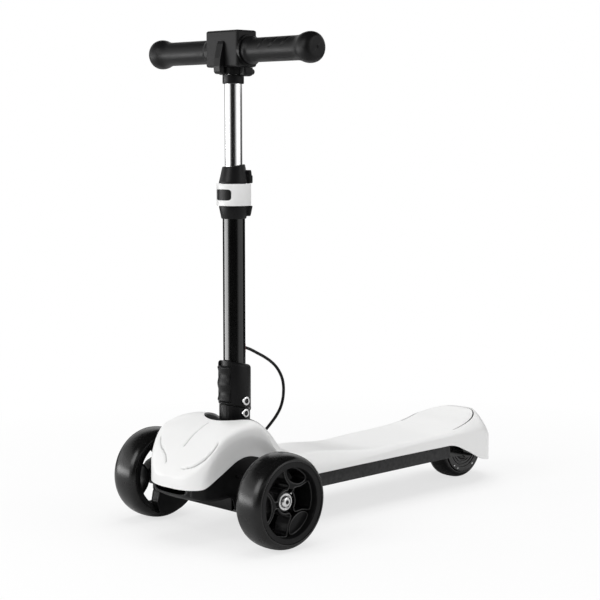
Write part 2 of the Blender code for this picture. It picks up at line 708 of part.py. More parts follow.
def make_axle_beam():
    floor_top = BEAM_BOTTOM + BEAM_PLATE
    ear_top = BEAM_EAR_BOTTOM + BEAM_EAR_THICKNESS
    depth = BEAM_HALF_DEPTH
    beam = block("axle_beam", (-BEAM_EAR_X, -depth, BEAM_BOTTOM), (BEAM_EAR_X, depth, floor_top))
    join(beam, block("b", (-BEAM_CENTRE_HALF, -depth + 1 * MM, BEAM_BOTTOM + 0.2 * MM),
                     (BEAM_CENTRE_HALF, BEAM_REAR_Y, floor_top + 0.2 * MM), cutters))
    join(beam, block("b", (-BEAM_CENTRE_HALF, BEAM_REAR_Y - CHEEK_THICKNESS, BEAM_BOTTOM + 1 * MM),
                     (BEAM_CENTRE_HALF, BEAM_REAR_Y - 0.2 * MM, TRAY_TOP - 3 * MM), cutters))
    for side in (-1, 1):
        near = side * BEAM_WEB_X
        far = side * (BEAM_WEB_X + 4 * MM)
        join(beam, block("b", (min(near, far), -depth + 0.5 * MM, BEAM_BOTTOM + 1 * MM),
                         (max(near, far), depth - 0.5 * MM, ear_top - 1 * MM), cutters))
        join(beam, block("b", (min(near, side * BEAM_EAR_X), -depth, BEAM_EAR_BOTTOM),
                         (max(near, side * BEAM_EAR_X), depth, ear_top), cutters))
    for y in (CHEEK_FRONT_Y, CHEEK_REAR_Y):
        join(beam, block("b", (-CHEEK_HALF, y, BEAM_BOTTOM + 1 * MM),
                         (CHEEK_HALF, y + CHEEK_THICKNESS, CHEEK_TOP), cutters))
    bore = KINGPIN_RADIUS + PIN_CLEARANCE
    for side in (-1, 1):
        cut(beam, rod("c", (side * KINGPIN_X, 0, BEAM_BOTTOM - 5 * MM),
                      (side * KINGPIN_X, 0, ear_top + 5 * MM), bore, 16, cutters))
    cut(beam, rod("c", (0, 0, LEAN_Z), (0, BEAM_REAR_Y + 20 * MM, LEAN_Z),
                  LEAN_PIN_RADIUS + PIN_CLEARANCE, 16, cutters))
    return finish(weld(bake(beam)), frame, DARK, 0.45)


def make_chassis_tray():
    tray = block("chassis_tray", (-TRAY_HALF, TRAY_FRONT_Y, TRAY_BOTTOM),
                 (TRAY_HALF, TRAY_REAR_Y, TRAY_TOP))
    cut(tray, block("c", (-TRAY_HALF + TRAY_WALL, TRAY_FRONT_Y + TRAY_WALL, TRAY_BOTTOM + TRAY_WALL),
                    (TRAY_HALF - TRAY_WALL, TRAY_REAR_Y - TRAY_WALL, TRAY_TOP + 10 * MM), cutters))
    return finish(weld(bake(tray)), frame, BLACK, 0.5)


def make_box_part(name, size, y, z, colour, carrier):
    low = (-size[0] / 2, y - size[1] / 2, z)
    high = (size[0] / 2, y + size[1] / 2, z + size[2])
    return finish(bake(bevel(block(name, low, high), 2 * MM)), carrier, colour, 0.5)


def make_fork_plate(name, side):
    """Steel plate that holds one end of the motor axle and one end of the brake pin."""
    near = side * FORK_X
    far = side * (FORK_X + FORK_THICKNESS)
    ear = FORK_EAR_RADIUS
    top = FORK_FLANGE_TOP - 2 * MM
    bottom = FORK_FLANGE_BOTTOM - 1 * MM
    outline = [(FORK_FRONT_Y, bottom), (FORK_FRONT_Y + 22 * MM, bottom),
               (REAR_Y - 2.7 * ear, REAR_RADIUS - 8 * MM), (REAR_Y - ear - 1 * MM, REAR_RADIUS - 10 * MM)]
    outline += ellipse(REAR_Y, REAR_RADIUS, ear, ear, -140 * DEG, 40 * DEG, 8, whole=False)
    outline += [(REAR_Y + 0.5 * ear, REAR_RADIUS + ear + 1 * MM), (REAR_Y - 20 * MM, top),
                (BRAKE_HINGE_Y + 14 * MM, top), (BRAKE_HINGE_Y + 6 * MM, BRAKE_HINGE_Z + 5 * MM),
                (BRAKE_HINGE_Y - 6 * MM, BRAKE_HINGE_Z + 5 * MM), (FORK_FRONT_Y, FORK_FLANGE_TOP + 1 * MM)]
    arm = plate(name, [outline], min(near, far), max(near, far), axis="X")
    flange_end = side * (FORK_X + FORK_FLANGE)
    flange = block("b", (min(near, flange_end), FORK_FRONT_Y, FORK_FLANGE_BOTTOM),
                   (max(near, flange_end), FORK_FRONT_Y + FORK_THICKNESS, FORK_FLANGE_TOP), cutters)
    join(arm, flange)
    reach = FORK_X + FORK_THICKNESS + 30 * MM
    cut(arm, rod("c", (-reach, REAR_Y, REAR_RADIUS), (reach, REAR_Y, REAR_RADIUS),
                 REAR_AXLE_RADIUS + GAP, 16, cutters))
    cut(arm, rod("c", (-reach, BRAKE_HINGE_Y, BRAKE_HINGE_Z), (reach, BRAKE_HINGE_Y, BRAKE_HINGE_Z),
                 BRAKE_PIN_RADIUS + GAP, 16, cutters))
    return finish(weld(bake(arm)), frame, DARK, 0.5)


def make_front_wheel(side_name, side, carrier):
    """Tyre, spoked hub, bearings and their spacer, made at the middle of the wheel."""
    place = (side * WHEEL_X, 0, WHEEL_RADIUS)
    half = WHEEL_WIDTH / 2
    crown = [(51.4, 21.2), (52.8, 21.8), (56.4, 18.9), (59, 11.8), (60, 4)]
    outer = [(r * MM * WHEEL_RADIUS / (60 * MM), x * MM * half / (22 * MM)) for r, x in crown]
    lip = RIM_RADIUS + GAP
    seat = RIM_SEAT_RADIUS + GAP
    profile = outer + [(r, -x) for r, x in reversed(outer)]
    profile[0] = (lip, outer[0][1])
    profile[-1] = (lip, -outer[0][1])
    profile += [(lip, -15 * MM), (seat, -14 * MM), (seat, 14 * MM), (lip, 15 * MM)]
    tyre = turned("front_tyre_" + side_name, profile, place, "X", 36, closed=True)
    finish(bake(tyre), carrier, BLACK, 0.35)
    rim_half = half - 1.2 * MM
    rim = [(RIM_RADIUS, rim_half), (RIM_RADIUS, 15 * MM), (RIM_SEAT_RADIUS, 14 * MM),
           (RIM_SEAT_RADIUS, -14 * MM), (RIM_RADIUS, -15 * MM), (RIM_RADIUS, -rim_half),
           (RIM_INNER_RADIUS, -rim_half), (RIM_INNER_RADIUS, rim_half)]
    hub = bake(turned("front_hub_" + side_name, rim, place, "X", 36, closed=True))
    join(hub, spoke_disc(side))
    boss = HUB_BOSS_HALF
    join(hub, rod("b", (side * WHEEL_X - boss, 0, WHEEL_RADIUS), (side * WHEEL_X + boss, 0, WHEEL_RADIUS),
                  HUB_BOSS_RADIUS, 20, cutters))
    cut(hub, rod("c", (side * WHEEL_X - 2 * half, 0, WHEEL_RADIUS),
                 (side * WHEEL_X + 2 * half, 0, WHEEL_RADIUS), BEARING_RADIUS + GAP, 20, cutters))
    finish(weld(bake(hub)), carrier, BLACK, 0.45)
    race = 6.5 * MM
    bore = AXLE_RADIUS + GAP
    spacer = 6.5 * MM
    sides = [(BEARING_RADIUS, boss), (BEARING_RADIUS, boss - race), (spacer, boss - race),
             (spacer, -boss + race), (BEARING_RADIUS, -boss + race), (BEARING_RADIUS, -boss),
             (bore, -boss), (bore, boss)]
    bearings = turned("front_bearings_" + side_name, sides, place, "X", 20, closed=True)
    finish(bake(bearings), carrier, DARK, 0.35, 0.6)


def spoke_disc(side):
    """Disc with three leaf-shaped pockets and three wide windows between them."""
    rim = RIM_INNER_RADIUS + 2 * MM
    outline = [ellipse(0, WHEEL_RADIUS, rim, rim, steps=36)]
    for k in range(3):
        leaf_angle = (64 + 120 * k) * DEG
        middle = 34.5 * MM
        leaf = []
        for j in range(10):
            a = 2 * math.pi * j / 10
            radial = middle + 6.5 * MM * math.cos(a)
            across = (10.5 + 3.0 * math.cos(a)) * MM * math.sin(a)
            leaf.append((radial * math.cos(leaf_angle) - across * math.sin(leaf_angle),
                         WHEEL_RADIUS + radial * math.sin(leaf_angle) + across * math.cos(leaf_angle)))
        outline.append(leaf)
        start = leaf_angle + 35 * DEG
        end = leaf_angle + 85 * DEG
        far = ellipse(0, WHEEL_RADIUS, 41.5 * MM, 41.5 * MM, start, end, 5, whole=False)
        near_start = leaf_angle + 42 * DEG
        near_end = leaf_angle + 78 * DEG
        near = ellipse(0, WHEEL_RADIUS, 18.5 * MM, 18.5 * MM, near_end, near_start, 3, whole=False)
        outline.append(far + near)
    half = SPOKE_DISC_WIDTH / 2
    disc = plate("spoke_disc", outline, side * WHEEL_X - half, side * WHEEL_X + half, axis="X",
                 collection=cutters)
    return disc


def make_front_axle(side_name, side, carrier):
    """Axle bolt: its head stands against the outer bearing, its shank ends in the knuckle."""
    face = WHEEL_X + HUB_BOSS_HALF + GAP
    head = rod("front_axle_" + side_name, (side * face, 0, WHEEL_RADIUS),
               (side * (face + AXLE_HEAD_THICKNESS), 0, WHEEL_RADIUS), AXLE_HEAD_RADIUS, 24,
               end_radius=AXLE_HEAD_RADIUS - 1.4 * MM)
    join(head, rod("b", (side * (KINGPIN_X + 6.5 * MM), 0, WHEEL_RADIUS),
                   (side * (face + 1 * MM), 0, WHEEL_RADIUS), AXLE_RADIUS, 16, cutters))
    cut(head, rod("c", (side * (face + 1.4 * MM), 0, WHEEL_RADIUS),
                  (side * (face + 10 * MM), 0, WHEEL_RADIUS), 3.5 * MM, 6, cutters))
    return finish(weld(bake(head)), carrier, STEEL, 0.25, 1.0)


def make_knuckle(side_name, side, carrier):
    low = BEAM_BOTTOM + BEAM_PLATE + 0.7 * MM
    high = BEAM_EAR_BOTTOM - 0.5 * MM
    knuckle = rod("knuckle_" + side_name, (side * KINGPIN_X, 0, low), (side * KINGPIN_X, 0, high),
                  BARREL_RADIUS, 24)
    inner_face = WHEEL_X - HUB_BOSS_HALF - GAP
    join(knuckle, rod("b", (side * (KINGPIN_X + 2 * MM), 0, WHEEL_RADIUS),
                      (side * (inner_face - 4 * MM), 0, WHEEL_RADIUS), 11 * MM, 20, cutters))
    join(knuckle, rod("b", (side * (KINGPIN_X + 3 * MM), 0, WHEEL_RADIUS),
                      (side * inner_face, 0, WHEEL_RADIUS), 6.4 * MM, 20, cutters))
    arm_low = TIE_ROD_BOTTOM + TIE_ROD_THICKNESS + 0.7 * MM
    arm = block("b", (side * KINGPIN_X - 4 * MM, 1 * MM, arm_low),
                (side * KINGPIN_X + 4 * MM, STEER_ARM_LENGTH + 4 * MM, arm_low + 6 * MM), cutters)
    join(knuckle, arm)
    join(knuckle, rod("b", (side * KINGPIN_X, STEER_ARM_LENGTH, TIE_ROD_BOTTOM - 1 * MM),
                      (side * KINGPIN_X, STEER_ARM_LENGTH, arm_low + 3 * MM), STEER_PIN_RADIUS, 12,
                      cutters))
    cut(knuckle, rod("c", (side * KINGPIN_X, 0, low - 5 * MM), (side * KINGPIN_X, 0, high + 5 * MM),
                     KINGPIN_RADIUS + PIN_CLEARANCE, 16, cutters))
    cut(knuckle, rod("c", (side * (KINGPIN_X + 5.5 * MM), 0, WHEEL_RADIUS),
                     (side * (inner_face + 5 * MM), 0, WHEEL_RADIUS), AXLE_RADIUS + GAP, 16, cutters))
    return finish(weld(bake(knuckle)), carrier, DARK, 0.4, 0.4)


def make_kingpin(side_name, side):
    top = BEAM_EAR_BOTTOM + BEAM_EAR_THICKNESS + GAP
    bottom = BEAM_BOTTOM - 2.5 * MM
    profile = [(0, top + 3.5 * MM), (6 * MM, top + 3.5 * MM), (7 * MM, top + 2.5 * MM), (7 * MM, top),
               (KINGPIN_RADIUS, top), (KINGPIN_RADIUS, bottom), (0, bottom)]
    pin = turned("kingpin_" + side_name, profile, (side * KINGPIN_X, 0, 0), "Z", 16)
    return finish(bake(pin), frame, STEEL, 0.3, 1.0)


def make_tie_rod(carrier):
    half = KINGPIN_X + 8 * MM
    y = STEER_ARM_LENGTH
    top = TIE_ROD_BOTTOM + TIE_ROD_THICKNESS
    bar = block("tie_rod", (-half, y - TIE_ROD_WIDTH / 2 - 2.5 * MM, TIE_ROD_BOTTOM),
                (half, y + TIE_ROD_WIDTH / 2 + 2.5 * MM, top))
    join(bar, block("b", (-LUG_WIDTH / 2, y - 4 * MM, TIE_ROD_BOTTOM + 1 * MM),
                    (LUG_WIDTH / 2, y + 4 * MM, top + LUG_HEIGHT), cutters))
    for side in (-1, 1):
        cut(bar, rod("c", (side * KINGPIN_X, y, TIE_ROD_BOTTOM - 5 * MM), (side * KINGPIN_X, y, top + 5 * MM),
                     STEER_PIN_RADIUS + STEER_PIN_CLEARANCE, 16, cutters))
    return finish(weld(bake(bar)), carrier, STEEL, 0.4, 0.8)


def make_lean_block(carrier):
    """Block that swings on the long pin: it carries the stem and pushes the tie rod."""
    front = CHEEK_FRONT_Y + CHEEK_THICKNESS + 0.5 * MM
    rear = CHEEK_REAR_Y - 0.5 * MM
    body = block("lean_block", (-LEAN_HALF, front, 66 * MM), (LEAN_HALF, rear, LEAN_TOP))
    join(body, block("b", (-LEAN_LOBE_HALF, front + 2 * MM, LEAN_LOBE_BOTTOM),
                     (LEAN_LOBE_HALF, rear - 10 * MM, 68 * MM), cutters))
    join(body, block("b", (-WING_HALF, BUFFER_Y - 7 * MM, WING_BOTTOM),
                     (WING_HALF, BUFFER_Y + 7 * MM, WING_BOTTOM + WING_THICKNESS), cutters))
    notch = LUG_WIDTH / 2 + LUG_CLEARANCE
    lug_top = TIE_ROD_BOTTOM + TIE_ROD_THICKNESS + LUG_HEIGHT
    cut(body, block("c", (-notch, 0, LEAN_LOBE_BOTTOM - 5 * MM), (notch, rear + 5 * MM, lug_top + 2 * MM),
                    cutters))
    cut(body, rod("c", (0, 0, LEAN_Z), (0, BEAM_REAR_Y, LEAN_Z), LEAN_PIN_RADIUS + PIN_CLEARANCE, 16,
                  cutters))
    return finish(weld(bake(body)), carrier, DARK, 0.5)


def make_lean_pin():
    front = CHEEK_FRONT_Y - GAP
    rear = CHEEK_REAR_Y + CHEEK_THICKNESS + 2.5 * MM
    profile = [(0, rear), (LEAN_PIN_RADIUS, rear), (LEAN_PIN_RADIUS, front), (7 * MM, front),
               (7 * MM, front - 4 * MM), (0, front - 4 * MM)]
    pin = turned("lean_pin", profile, (0, 0, LEAN_Z), "Y", 16)
    return finish(bake(pin), frame, STEEL, 0.3, 1.0)


def make_buffer(side_name, side):
    """Ribbed rubber buffer that is squeezed when the stem leans to its side."""
    low = BEAM_BOTTOM + BEAM_PLATE + 0.2 * MM + GAP
    high = WING_BOTTOM - GAP
    ribs = 5
    profile = [(0, high)]
    for k in range(ribs):
        top = high - (high - low) * k / ribs
        end = high - (high - low) * (k + 1) / ribs
        profile += [(BUFFER_RADIUS - 1.2 * MM, top), (BUFFER_RADIUS, (top + end) / 2)]
    profile += [(BUFFER_RADIUS - 1.2 * MM, low), (0, low)]
    buffer = turned("lean_buffer_" + side_name, profile, (side * BUFFER_X, BUFFER_Y, 0), "Z", 12)
    return finish(bake(buffer), frame, BLACK, 0.8)


def seam_half(name, keep_above, gap):
    """A big block on one side of the slanting seam, to cut the other side away."""
    size = 60 * MM
    low = (-size, -size, 0) if keep_above else (-size, -size, -2 * size)
    high = (size, size, 2 * size) if keep_above else (size, size, 0)
    tool = block(name, low, high, cutters)
    tool.rotation_euler = (-SEAM_SLOPE, 0, 0)
    tool.location = (0, STEM_Y, SEAM_Z + (gap if keep_above else -gap))
    return tool


def fold_z():
    return SEAM_Z - math.tan(SEAM_SLOPE) * (FOLD_Y - STEM_Y)


def make_stem_base(carrier):
    low = LEAN_TOP + GAP
    profile = [(0, SEAM_Z + 20 * MM), (BASE_RADIUS, SEAM_Z + 20 * MM), (BASE_RADIUS, DUST_DISC_Z + 8 * MM),
               (BASE_RADIUS + 3 * MM, DUST_DISC_Z + 3 * MM), (DUST_DISC_RADIUS, DUST_DISC_Z + 1.5 * MM),
               (DUST_DISC_RADIUS, DUST_DISC_Z), (BASE_RADIUS - 2 * MM, DUST_DISC_Z),
               (BASE_RADIUS - 4 * MM, low), (0, low)]
    base = bake(turned("stem_base", profile, (0, STEM_Y, 0), "Z", 28))
    cut(base, seam_half("c", True, -0.2 * MM))
    z = fold_z()
    cut(base, block("c", (-FOLD_LUG_HALF - 0.4 * MM, FOLD_Y - FOLD_LUG_RADIUS - 0.6 * MM, z - 4.8 * MM),
                    (FOLD_LUG_HALF + 0.4 * MM, FOLD_Y + 10 * MM, z + 10 * MM), cutters))
    for side in (-1, 1):
        join(base, rod("b", (side * (FOLD_LUG_HALF + 0.4 * MM), FOLD_Y, z), (side * FOLD_LUG_END, FOLD_Y, z),
                       FOLD_LUG_RADIUS, 16, cutters))
    cut(base, rod("c", (-30 * MM, FOLD_Y, z), (30 * MM, FOLD_Y, z), FOLD_PIN_RADIUS + 0.2 * MM, 12, cutters))
    cut(base, rod("c", (-15 * MM, STEM_Y, BASE_BOLT_Z), (30 * MM, STEM_Y, BASE_BOLT_Z),
                  BOLT_SHANK_RADIUS + GAP, 12, cutters))
    # Pocket for the nose of the latch
    cut(base, block("c", (-LATCH_NOSE_HALF - GAP, STEM_Y - LATCH_NOSE_OUT - GAP, LATCH_NOSE_BOTTOM - 1 * MM),
                    (LATCH_NOSE_HALF + GAP, STEM_Y - LATCH_NOSE_IN + 1.6 * MM, SEAM_Z + 20 * MM), cutters))
    return finish(weld(bake(base)), carrier, BLACK, 0.55)


def make_cross_bolt(name, z, carrier, body_radius):
    seat = body_radius + GAP
    bolt = rod(name, (seat, STEM_Y, z), (seat + BOLT_HEAD_THICKNESS, STEM_Y, z), BOLT_HEAD_RADIUS, 20,
               end_radius=BOLT_HEAD_RADIUS - 0.9 * MM)
    join(bolt, rod("b", (-14.5 * MM, STEM_Y, z), (seat + 1 * MM, STEM_Y, z), BOLT_SHANK_RADIUS, 12, cutters))
    cut(bolt, rod("c", (seat + 0.6 * MM, STEM_Y, z), (seat + 2 * BOLT_HEAD_THICKNESS, STEM_Y, z),
                  BOLT_HEAD_RADIUS / 2, 6, cutters))
    return finish(weld(bake(bolt)), carrier, CHROME, 0.2, 1.0)


def make_stem_socket(carrier):
    profile = [(0, SOCKET_TOP + 20 * MM), (SOCKET_RADIUS, SOCKET_TOP + 20 * MM),
               (SOCKET_RADIUS, SEAM_Z - 20 * MM), (0, SEAM_Z - 20 * MM)]
    socket = bake(turned("stem_socket", profile, (0, STEM_Y, 0), "Z", 28))
    z = fold_z()
    cut(socket, seam_half("c", False, -0.2 * MM))
    top = seam_half("c", True, 0)
    top.location.z = SOCKET_TOP
    cut(socket, top)
    cut(socket, rod("c", (0, STEM_Y, OUTER_TUBE_BOTTOM - GAP), (0, STEM_Y, SOCKET_TOP + 40 * MM),
                    OUTER_TUBE_RADIUS + GAP, 32, cutters))
    # The rear edge above the hinge line is relieved, so that it clears the base when folded
    cut(socket, block("c", (-30 * MM, FOLD_Y - 0.3 * MM, z - 10 * MM), (30 * MM, FOLD_Y + 10 * MM, z + 5 * MM),
                      cutters))
    for side in (-1, 1):
        near = side * (FOLD_LUG_HALF + 0.1 * MM)
        far = side * (FOLD_LUG_END + 0.6 * MM)
        cut(socket, rod("c", (near, FOLD_Y, z), (far, FOLD_Y, z), FOLD_LUG_RADIUS + 0.6 * MM, 16, cutters))
    join(socket, rod("b", (-FOLD_LUG_HALF + 0.1 * MM, FOLD_Y, z), (FOLD_LUG_HALF - 0.1 * MM, FOLD_Y, z),
                     FOLD_LUG_RADIUS, 16, cutters))
    join(socket, block("b", (-FOLD_LUG_HALF + 0.3 * MM, FOLD_Y - 6 * MM, z + 1.5 * MM),
                       (FOLD_LUG_HALF - 0.3 * MM, FOLD_Y + 2 * MM, z + 8 * MM), cutters))
    cut(socket, rod("c", (-30 * MM, FOLD_Y, z), (30 * MM, FOLD_Y, z), FOLD_PIN_RADIUS + 0.2 * MM, 12, cutters))
    cut(socket, rod("c", (-15 * MM, STEM_Y, SOCKET_BOLT_Z), (40 * MM, STEM_Y, SOCKET_BOLT_Z),
                    BOLT_SHANK_RADIUS + GAP, 12, cutters))
    front = STEM_Y - SOCKET_RADIUS - 20 * MM
    cut(socket, block("c", (-LATCH_HALF - GAP, front, LATCH_BOTTOM - GAP),
                      (LATCH_HALF + GAP, STEM_Y - LATCH_IN + GAP, LATCH_TOP + LATCH_TRAVEL + GAP), cutters))
    cut(socket, block("c", (-LATCH_NOSE_HALF - GAP, STEM_Y - LATCH_NOSE_OUT - GAP, SEAM_Z - 10 * MM),
                      (LATCH_NOSE_HALF + GAP, STEM_Y - LATCH_NOSE_IN + GAP,
                       LATCH_FOOT_TOP + LATCH_TRAVEL + GAP), cutters))
    return finish(weld(bake(socket)), carrier, BLACK, 0.6)


def make_latch(carrier):
    """Finger latch on the front of the socket: it is pulled up to free the fold."""
    waves = 12
    face = []
    for k in range(waves + 1):
        z = LATCH_BOTTOM + (LATCH_TOP - LATCH_BOTTOM) * k / waves
        face.append((STEM_Y - LATCH_OUT + 0.9 * MM * math.cos((z - LATCH_TOP) / (23 * MM) * 2 * math.pi), z))
    outline = [(STEM_Y - LATCH_IN, LATCH_TOP), (STEM_Y - LATCH_IN, LATCH_BOTTOM)]
    latch = plate("latch_lever", [outline + face], -LATCH_HALF, LATCH_HALF, axis="X")
    nose_front = STEM_Y - LATCH_NOSE_OUT
    nose_back = STEM_Y - LATCH_NOSE_IN
    nose = [(nose_front - 0.5 * MM, LATCH_FOOT_TOP), (nose_front - 0.5 * MM, LATCH_BOTTOM + 1 * MM),
            (nose_front, LATCH_BOTTOM + 1 * MM), (nose_front, LATCH_NOSE_BOTTOM),
            (nose_back, LATCH_NOSE_BOTTOM), (nose_back, LATCH_FOOT_TOP)]
    join(latch, plate("b", [nose], -LATCH_NOSE_HALF, LATCH_NOSE_HALF, axis="X", collection=cutters))
    return finish(weld(bake(latch)), carrier, BLACK, 0.6)


def tube_ring(name, radius, wall, low, high, carrier, colour, roughness, metallic, steps=32, x=0.0, y=None):
    profile = [(radius, high), (radius, low), (radius - wall, low), (radius - wall, high)]
    ring = turned(name, profile, (x, STEM_Y if y is None else y, 0), "Z", steps, closed=True)
    return finish(bake(ring), carrier, colour, roughness, metallic)


def make_grommet(carrier):
    """Oval strain relief on the rear of the tube, where the cable comes out."""
    start = STEM_Y + OUTER_TUBE_RADIUS
    low = (-GROMMET_HALF_WIDTH, start - 2 * MM, GROMMET_Z - GROMMET_HALF_HEIGHT)
    high = (GROMMET_HALF_WIDTH, start + GROMMET_LENGTH, GROMMET_Z + GROMMET_HALF_HEIGHT)
    ring = bake(bevel(block("cable_grommet", low, high), 1.5 * MM, 2))
    cut(ring, rod("c", (0, STEM_Y, GROMMET_Z - 30 * MM), (0, STEM_Y, GROMMET_Z + 30 * MM),
                  OUTER_TUBE_RADIUS + GAP, 48, cutters))
    cut(ring, rod("c", (0, start - 5 * MM, GROMMET_Z), (0, start + 10 * MM, GROMMET_Z),
                  CABLE_RADIUS + GAP, 12, cutters))
    return finish(weld(bake(ring)), carrier, RED, 0.6)


# The cable loop behind the stem, as (Y, Z) points from the tube to the nose cover
CABLE_POINTS = [(STEM_Y + OUTER_TUBE_RADIUS + GAP, GROMMET_Z), (50.2 * MM, GROMMET_Z),
                (53.6 * MM, GROMMET_Z - 0.5 * MM), (62.1 * MM, 229.8 * MM), (73.5 * MM, 224.2 * MM),
                (84.9 * MM, 218.5 * MM), (96.5 * MM, 211.5 * MM), (105.9 * MM, 204.0 * MM),
                (113.0 * MM, 195.5 * MM), (118.2 * MM, 186.0 * MM), (120.4 * MM, 177.0 * MM),
                (120.7 * MM, 168.0 * MM), (119.2 * MM, 157.5 * MM), (114.8 * MM, 146.7 * MM),
                (107.2 * MM, 137.0 * MM), (98.3 * MM, 129.0 * MM), (89.5 * MM, 122.0 * MM),
                (81.0 * MM, 115.5 * MM), (74.0 * MM, 109.5 * MM)]


def make_cable(carrier):
    curve = bpy.data.curves.new("motor_cable", "CURVE")
    curve.dimensions = "3D"
    curve.bevel_depth = CABLE_RADIUS
    curve.bevel_resolution = 2
    curve.use_fill_caps = True
    dense = []
    for i in range(len(CABLE_POINTS) - 1):
        before = Vector(CABLE_POINTS[max(i - 1, 0)])
        start = Vector(CABLE_POINTS[i])
        end = Vector(CABLE_POINTS[i + 1])
        after = Vector(CABLE_POINTS[min(i + 2, len(CABLE_POINTS) - 1)])
        for t in (0.0, 0.5):
            dense.append(0.5 * ((2 * start) + (end - before) * t
                                + (2 * before - 5 * start + 4 * end - after) * t * t
                                + (3 * start - before - 3 * end + after) * t ** 3))
    dense.append(Vector(CABLE_POINTS[-1]))
    spline = curve.splines.new("POLY")
    spline.points.add(len(dense) - 1)
    for target, point in zip(spline.points, dense):
        target.co = (0, point.x, point.y, 1)
    cable = bpy.data.objects.new("motor_cable", curve)
    parts.objects.link(cable)
    return finish(cable, carrier, BLACK, 0.5)


def make_clamp_collar(carrier):
    inner = OUTER_TUBE_RADIUS + GAP
    neck = INNER_TUBE_RADIUS + 0.4 * MM
    profile = [(CLAMP_TOP_RADIUS, CLAMP_TOP), (CLAMP_WIDE_RADIUS, BAND_TOP + 0.5 * MM),
               (CLAMP_CORE_RADIUS, BAND_TOP + 0.5 * MM), (CLAMP_CORE_RADIUS, BAND_BOTTOM - 0.5 * MM),
               (CLAMP_WIDE_RADIUS, BAND_BOTTOM - 0.5 * MM), (CLAMP_BOTTOM_RADIUS, CLAMP_BOTTOM),
               (inner, CLAMP_BOTTOM), (inner, OUTER_TUBE_TOP + GAP), (neck, OUTER_TUBE_TOP + GAP),
               (neck, CLAMP_TOP)]
    collar = bake(turned("clamp_collar", profile, (0, STEM_Y, 0), "Z", 24, closed=True))
    out = Vector((math.cos(CLAMP_AZIMUTH), math.sin(CLAMP_AZIMUTH), 0))
    pin = Vector((0, STEM_Y, 0)) + out * CLAMP_PIN_REACH
    join(collar, rod("b", (pin.x, pin.y, BAND_TOP + 0.5 * MM), (pin.x, pin.y, BAND_TOP + 8 * MM), 4.6 * MM, 16,
                     cutters))
    foot = rod("b", (pin.x, pin.y, BAND_BOTTOM - 12 * MM), (pin.x, pin.y, BAND_BOTTOM - 0.5 * MM), 2.4 * MM, 16,
               cutters, end_radius=4.6 * MM)
    cut(foot, rod("c", (0, STEM_Y, CLAMP_BOTTOM), (0, STEM_Y, CLAMP_TOP), OUTER_TUBE_RADIUS + 0.7 * MM, 20,
                  cutters))
    join(collar, foot)
    cut(collar, rod("c", (pin.x, pin.y, BAND_BOTTOM - 6.3 * MM), (pin.x, pin.y, CLAMP_TOP),
                    CLAMP_PIN_RADIUS + 0.2 * MM, 12, cutters))
    # Slit that lets the collar close on the inner tube
    cut(collar, block("c", (-1 * MM, STEM_Y + 5 * MM, BAND_TOP - 6 * MM),
                      (1 * MM, STEM_Y + 30 * MM, CLAMP_TOP + 5 * MM), cutters))
    return finish(weld(bake(collar)), carrier, BLACK, 0.5)


def clamp_pin_place():
    return (CLAMP_PIN_REACH * math.cos(CLAMP_AZIMUTH), STEM_Y + CLAMP_PIN_REACH * math.sin(CLAMP_AZIMUTH))


def make_clamp_pin(carrier):
    x, y = clamp_pin_place()
    pin = rod("clamp_pin", (x, y, BAND_BOTTOM - 6 * MM), (x, y, BAND_TOP + 8.6 * MM), CLAMP_PIN_RADIUS, 12)
    return finish(pin, carrier, STEEL, 0.3, 1.0)


def make_clamp_lever(carrier):
    """Half-round lever that wraps the collar, with a finger slot near its free end."""
    x, y = clamp_pin_place()
    start = CLAMP_AZIMUTH - 8 * DEG
    end = CLAMP_AZIMUTH - 196 * DEG
    outer = ellipse(0, STEM_Y, BAND_RADIUS, BAND_RADIUS, start, end, 20, whole=False)
    inner_radius = BAND_RADIUS - BAND_THICKNESS
    inner = ellipse(0, STEM_Y, inner_radius, inner_radius, end, start, 20, whole=False)
    lever = plate("clamp_lever", [outer + inner], BAND_BOTTOM, BAND_TOP)
    join(lever, rod("b", (x, y, BAND_BOTTOM), (x, y, BAND_TOP), CLAMP_BARREL_RADIUS, 16, cutters))
    cut(lever, rod("c", (x, y, BAND_BOTTOM - 5 * MM), (x, y, BAND_TOP + 5 * MM), CLAMP_PIN_RADIUS + 0.2 * MM,
                   12, cutters))
    slot = bake(bevel(block("c", (-BAND_RADIUS - 1 * MM, -2 * BAND_RADIUS, -7 * MM), (-2 * MM, 0, 7 * MM), cutters),
                      4 * MM, 2))
    slot.rotation_euler = (0, 0, CLAMP_AZIMUTH)
    slot.location = (0, STEM_Y, (BAND_TOP + BAND_BOTTOM) / 2)
    cut(lever, slot)
    return finish(weld(bake(lever)), carrier, WHITE, 0.25)


def make_head(carrier):
    body = bake(bevel(block("head_body", (-HEAD_HALF, HEAD_FRONT_Y, HEAD_BOTTOM),
                            (HEAD_HALF, HEAD_REAR_Y, HEAD_TOP)), 2.5 * MM))
    join(body, rod("b", (-HEAD_BOSS_END, STEM_Y, BAR_Z), (HEAD_BOSS_END, STEM_Y, BAR_Z), HEAD_BOSS_RADIUS, 32,
                   cutters))
    join(body, rod("b", (0, STEM_Y, HEAD_NECK_BOTTOM), (0, STEM_Y, BAR_Z), HEAD_NECK_RADIUS, 32, cutters))
    cut(body, rod("c", (-2 * HEAD_BOSS_END, STEM_Y, BAR_Z), (2 * HEAD_BOSS_END, STEM_Y, BAR_Z),
                  BAR_CORE_RADIUS + GAP, 24, cutters))
    cut(body, rod("c", (0, STEM_Y, HEAD_NECK_BOTTOM - HEAD_NECK_RADIUS), (0, STEM_Y, INNER_TUBE_TOP + GAP),
                  INNER_TUBE_RADIUS + GAP, 32, cutters))
    return finish(weld(bake(body)), carrier, BLACK, 0.5)


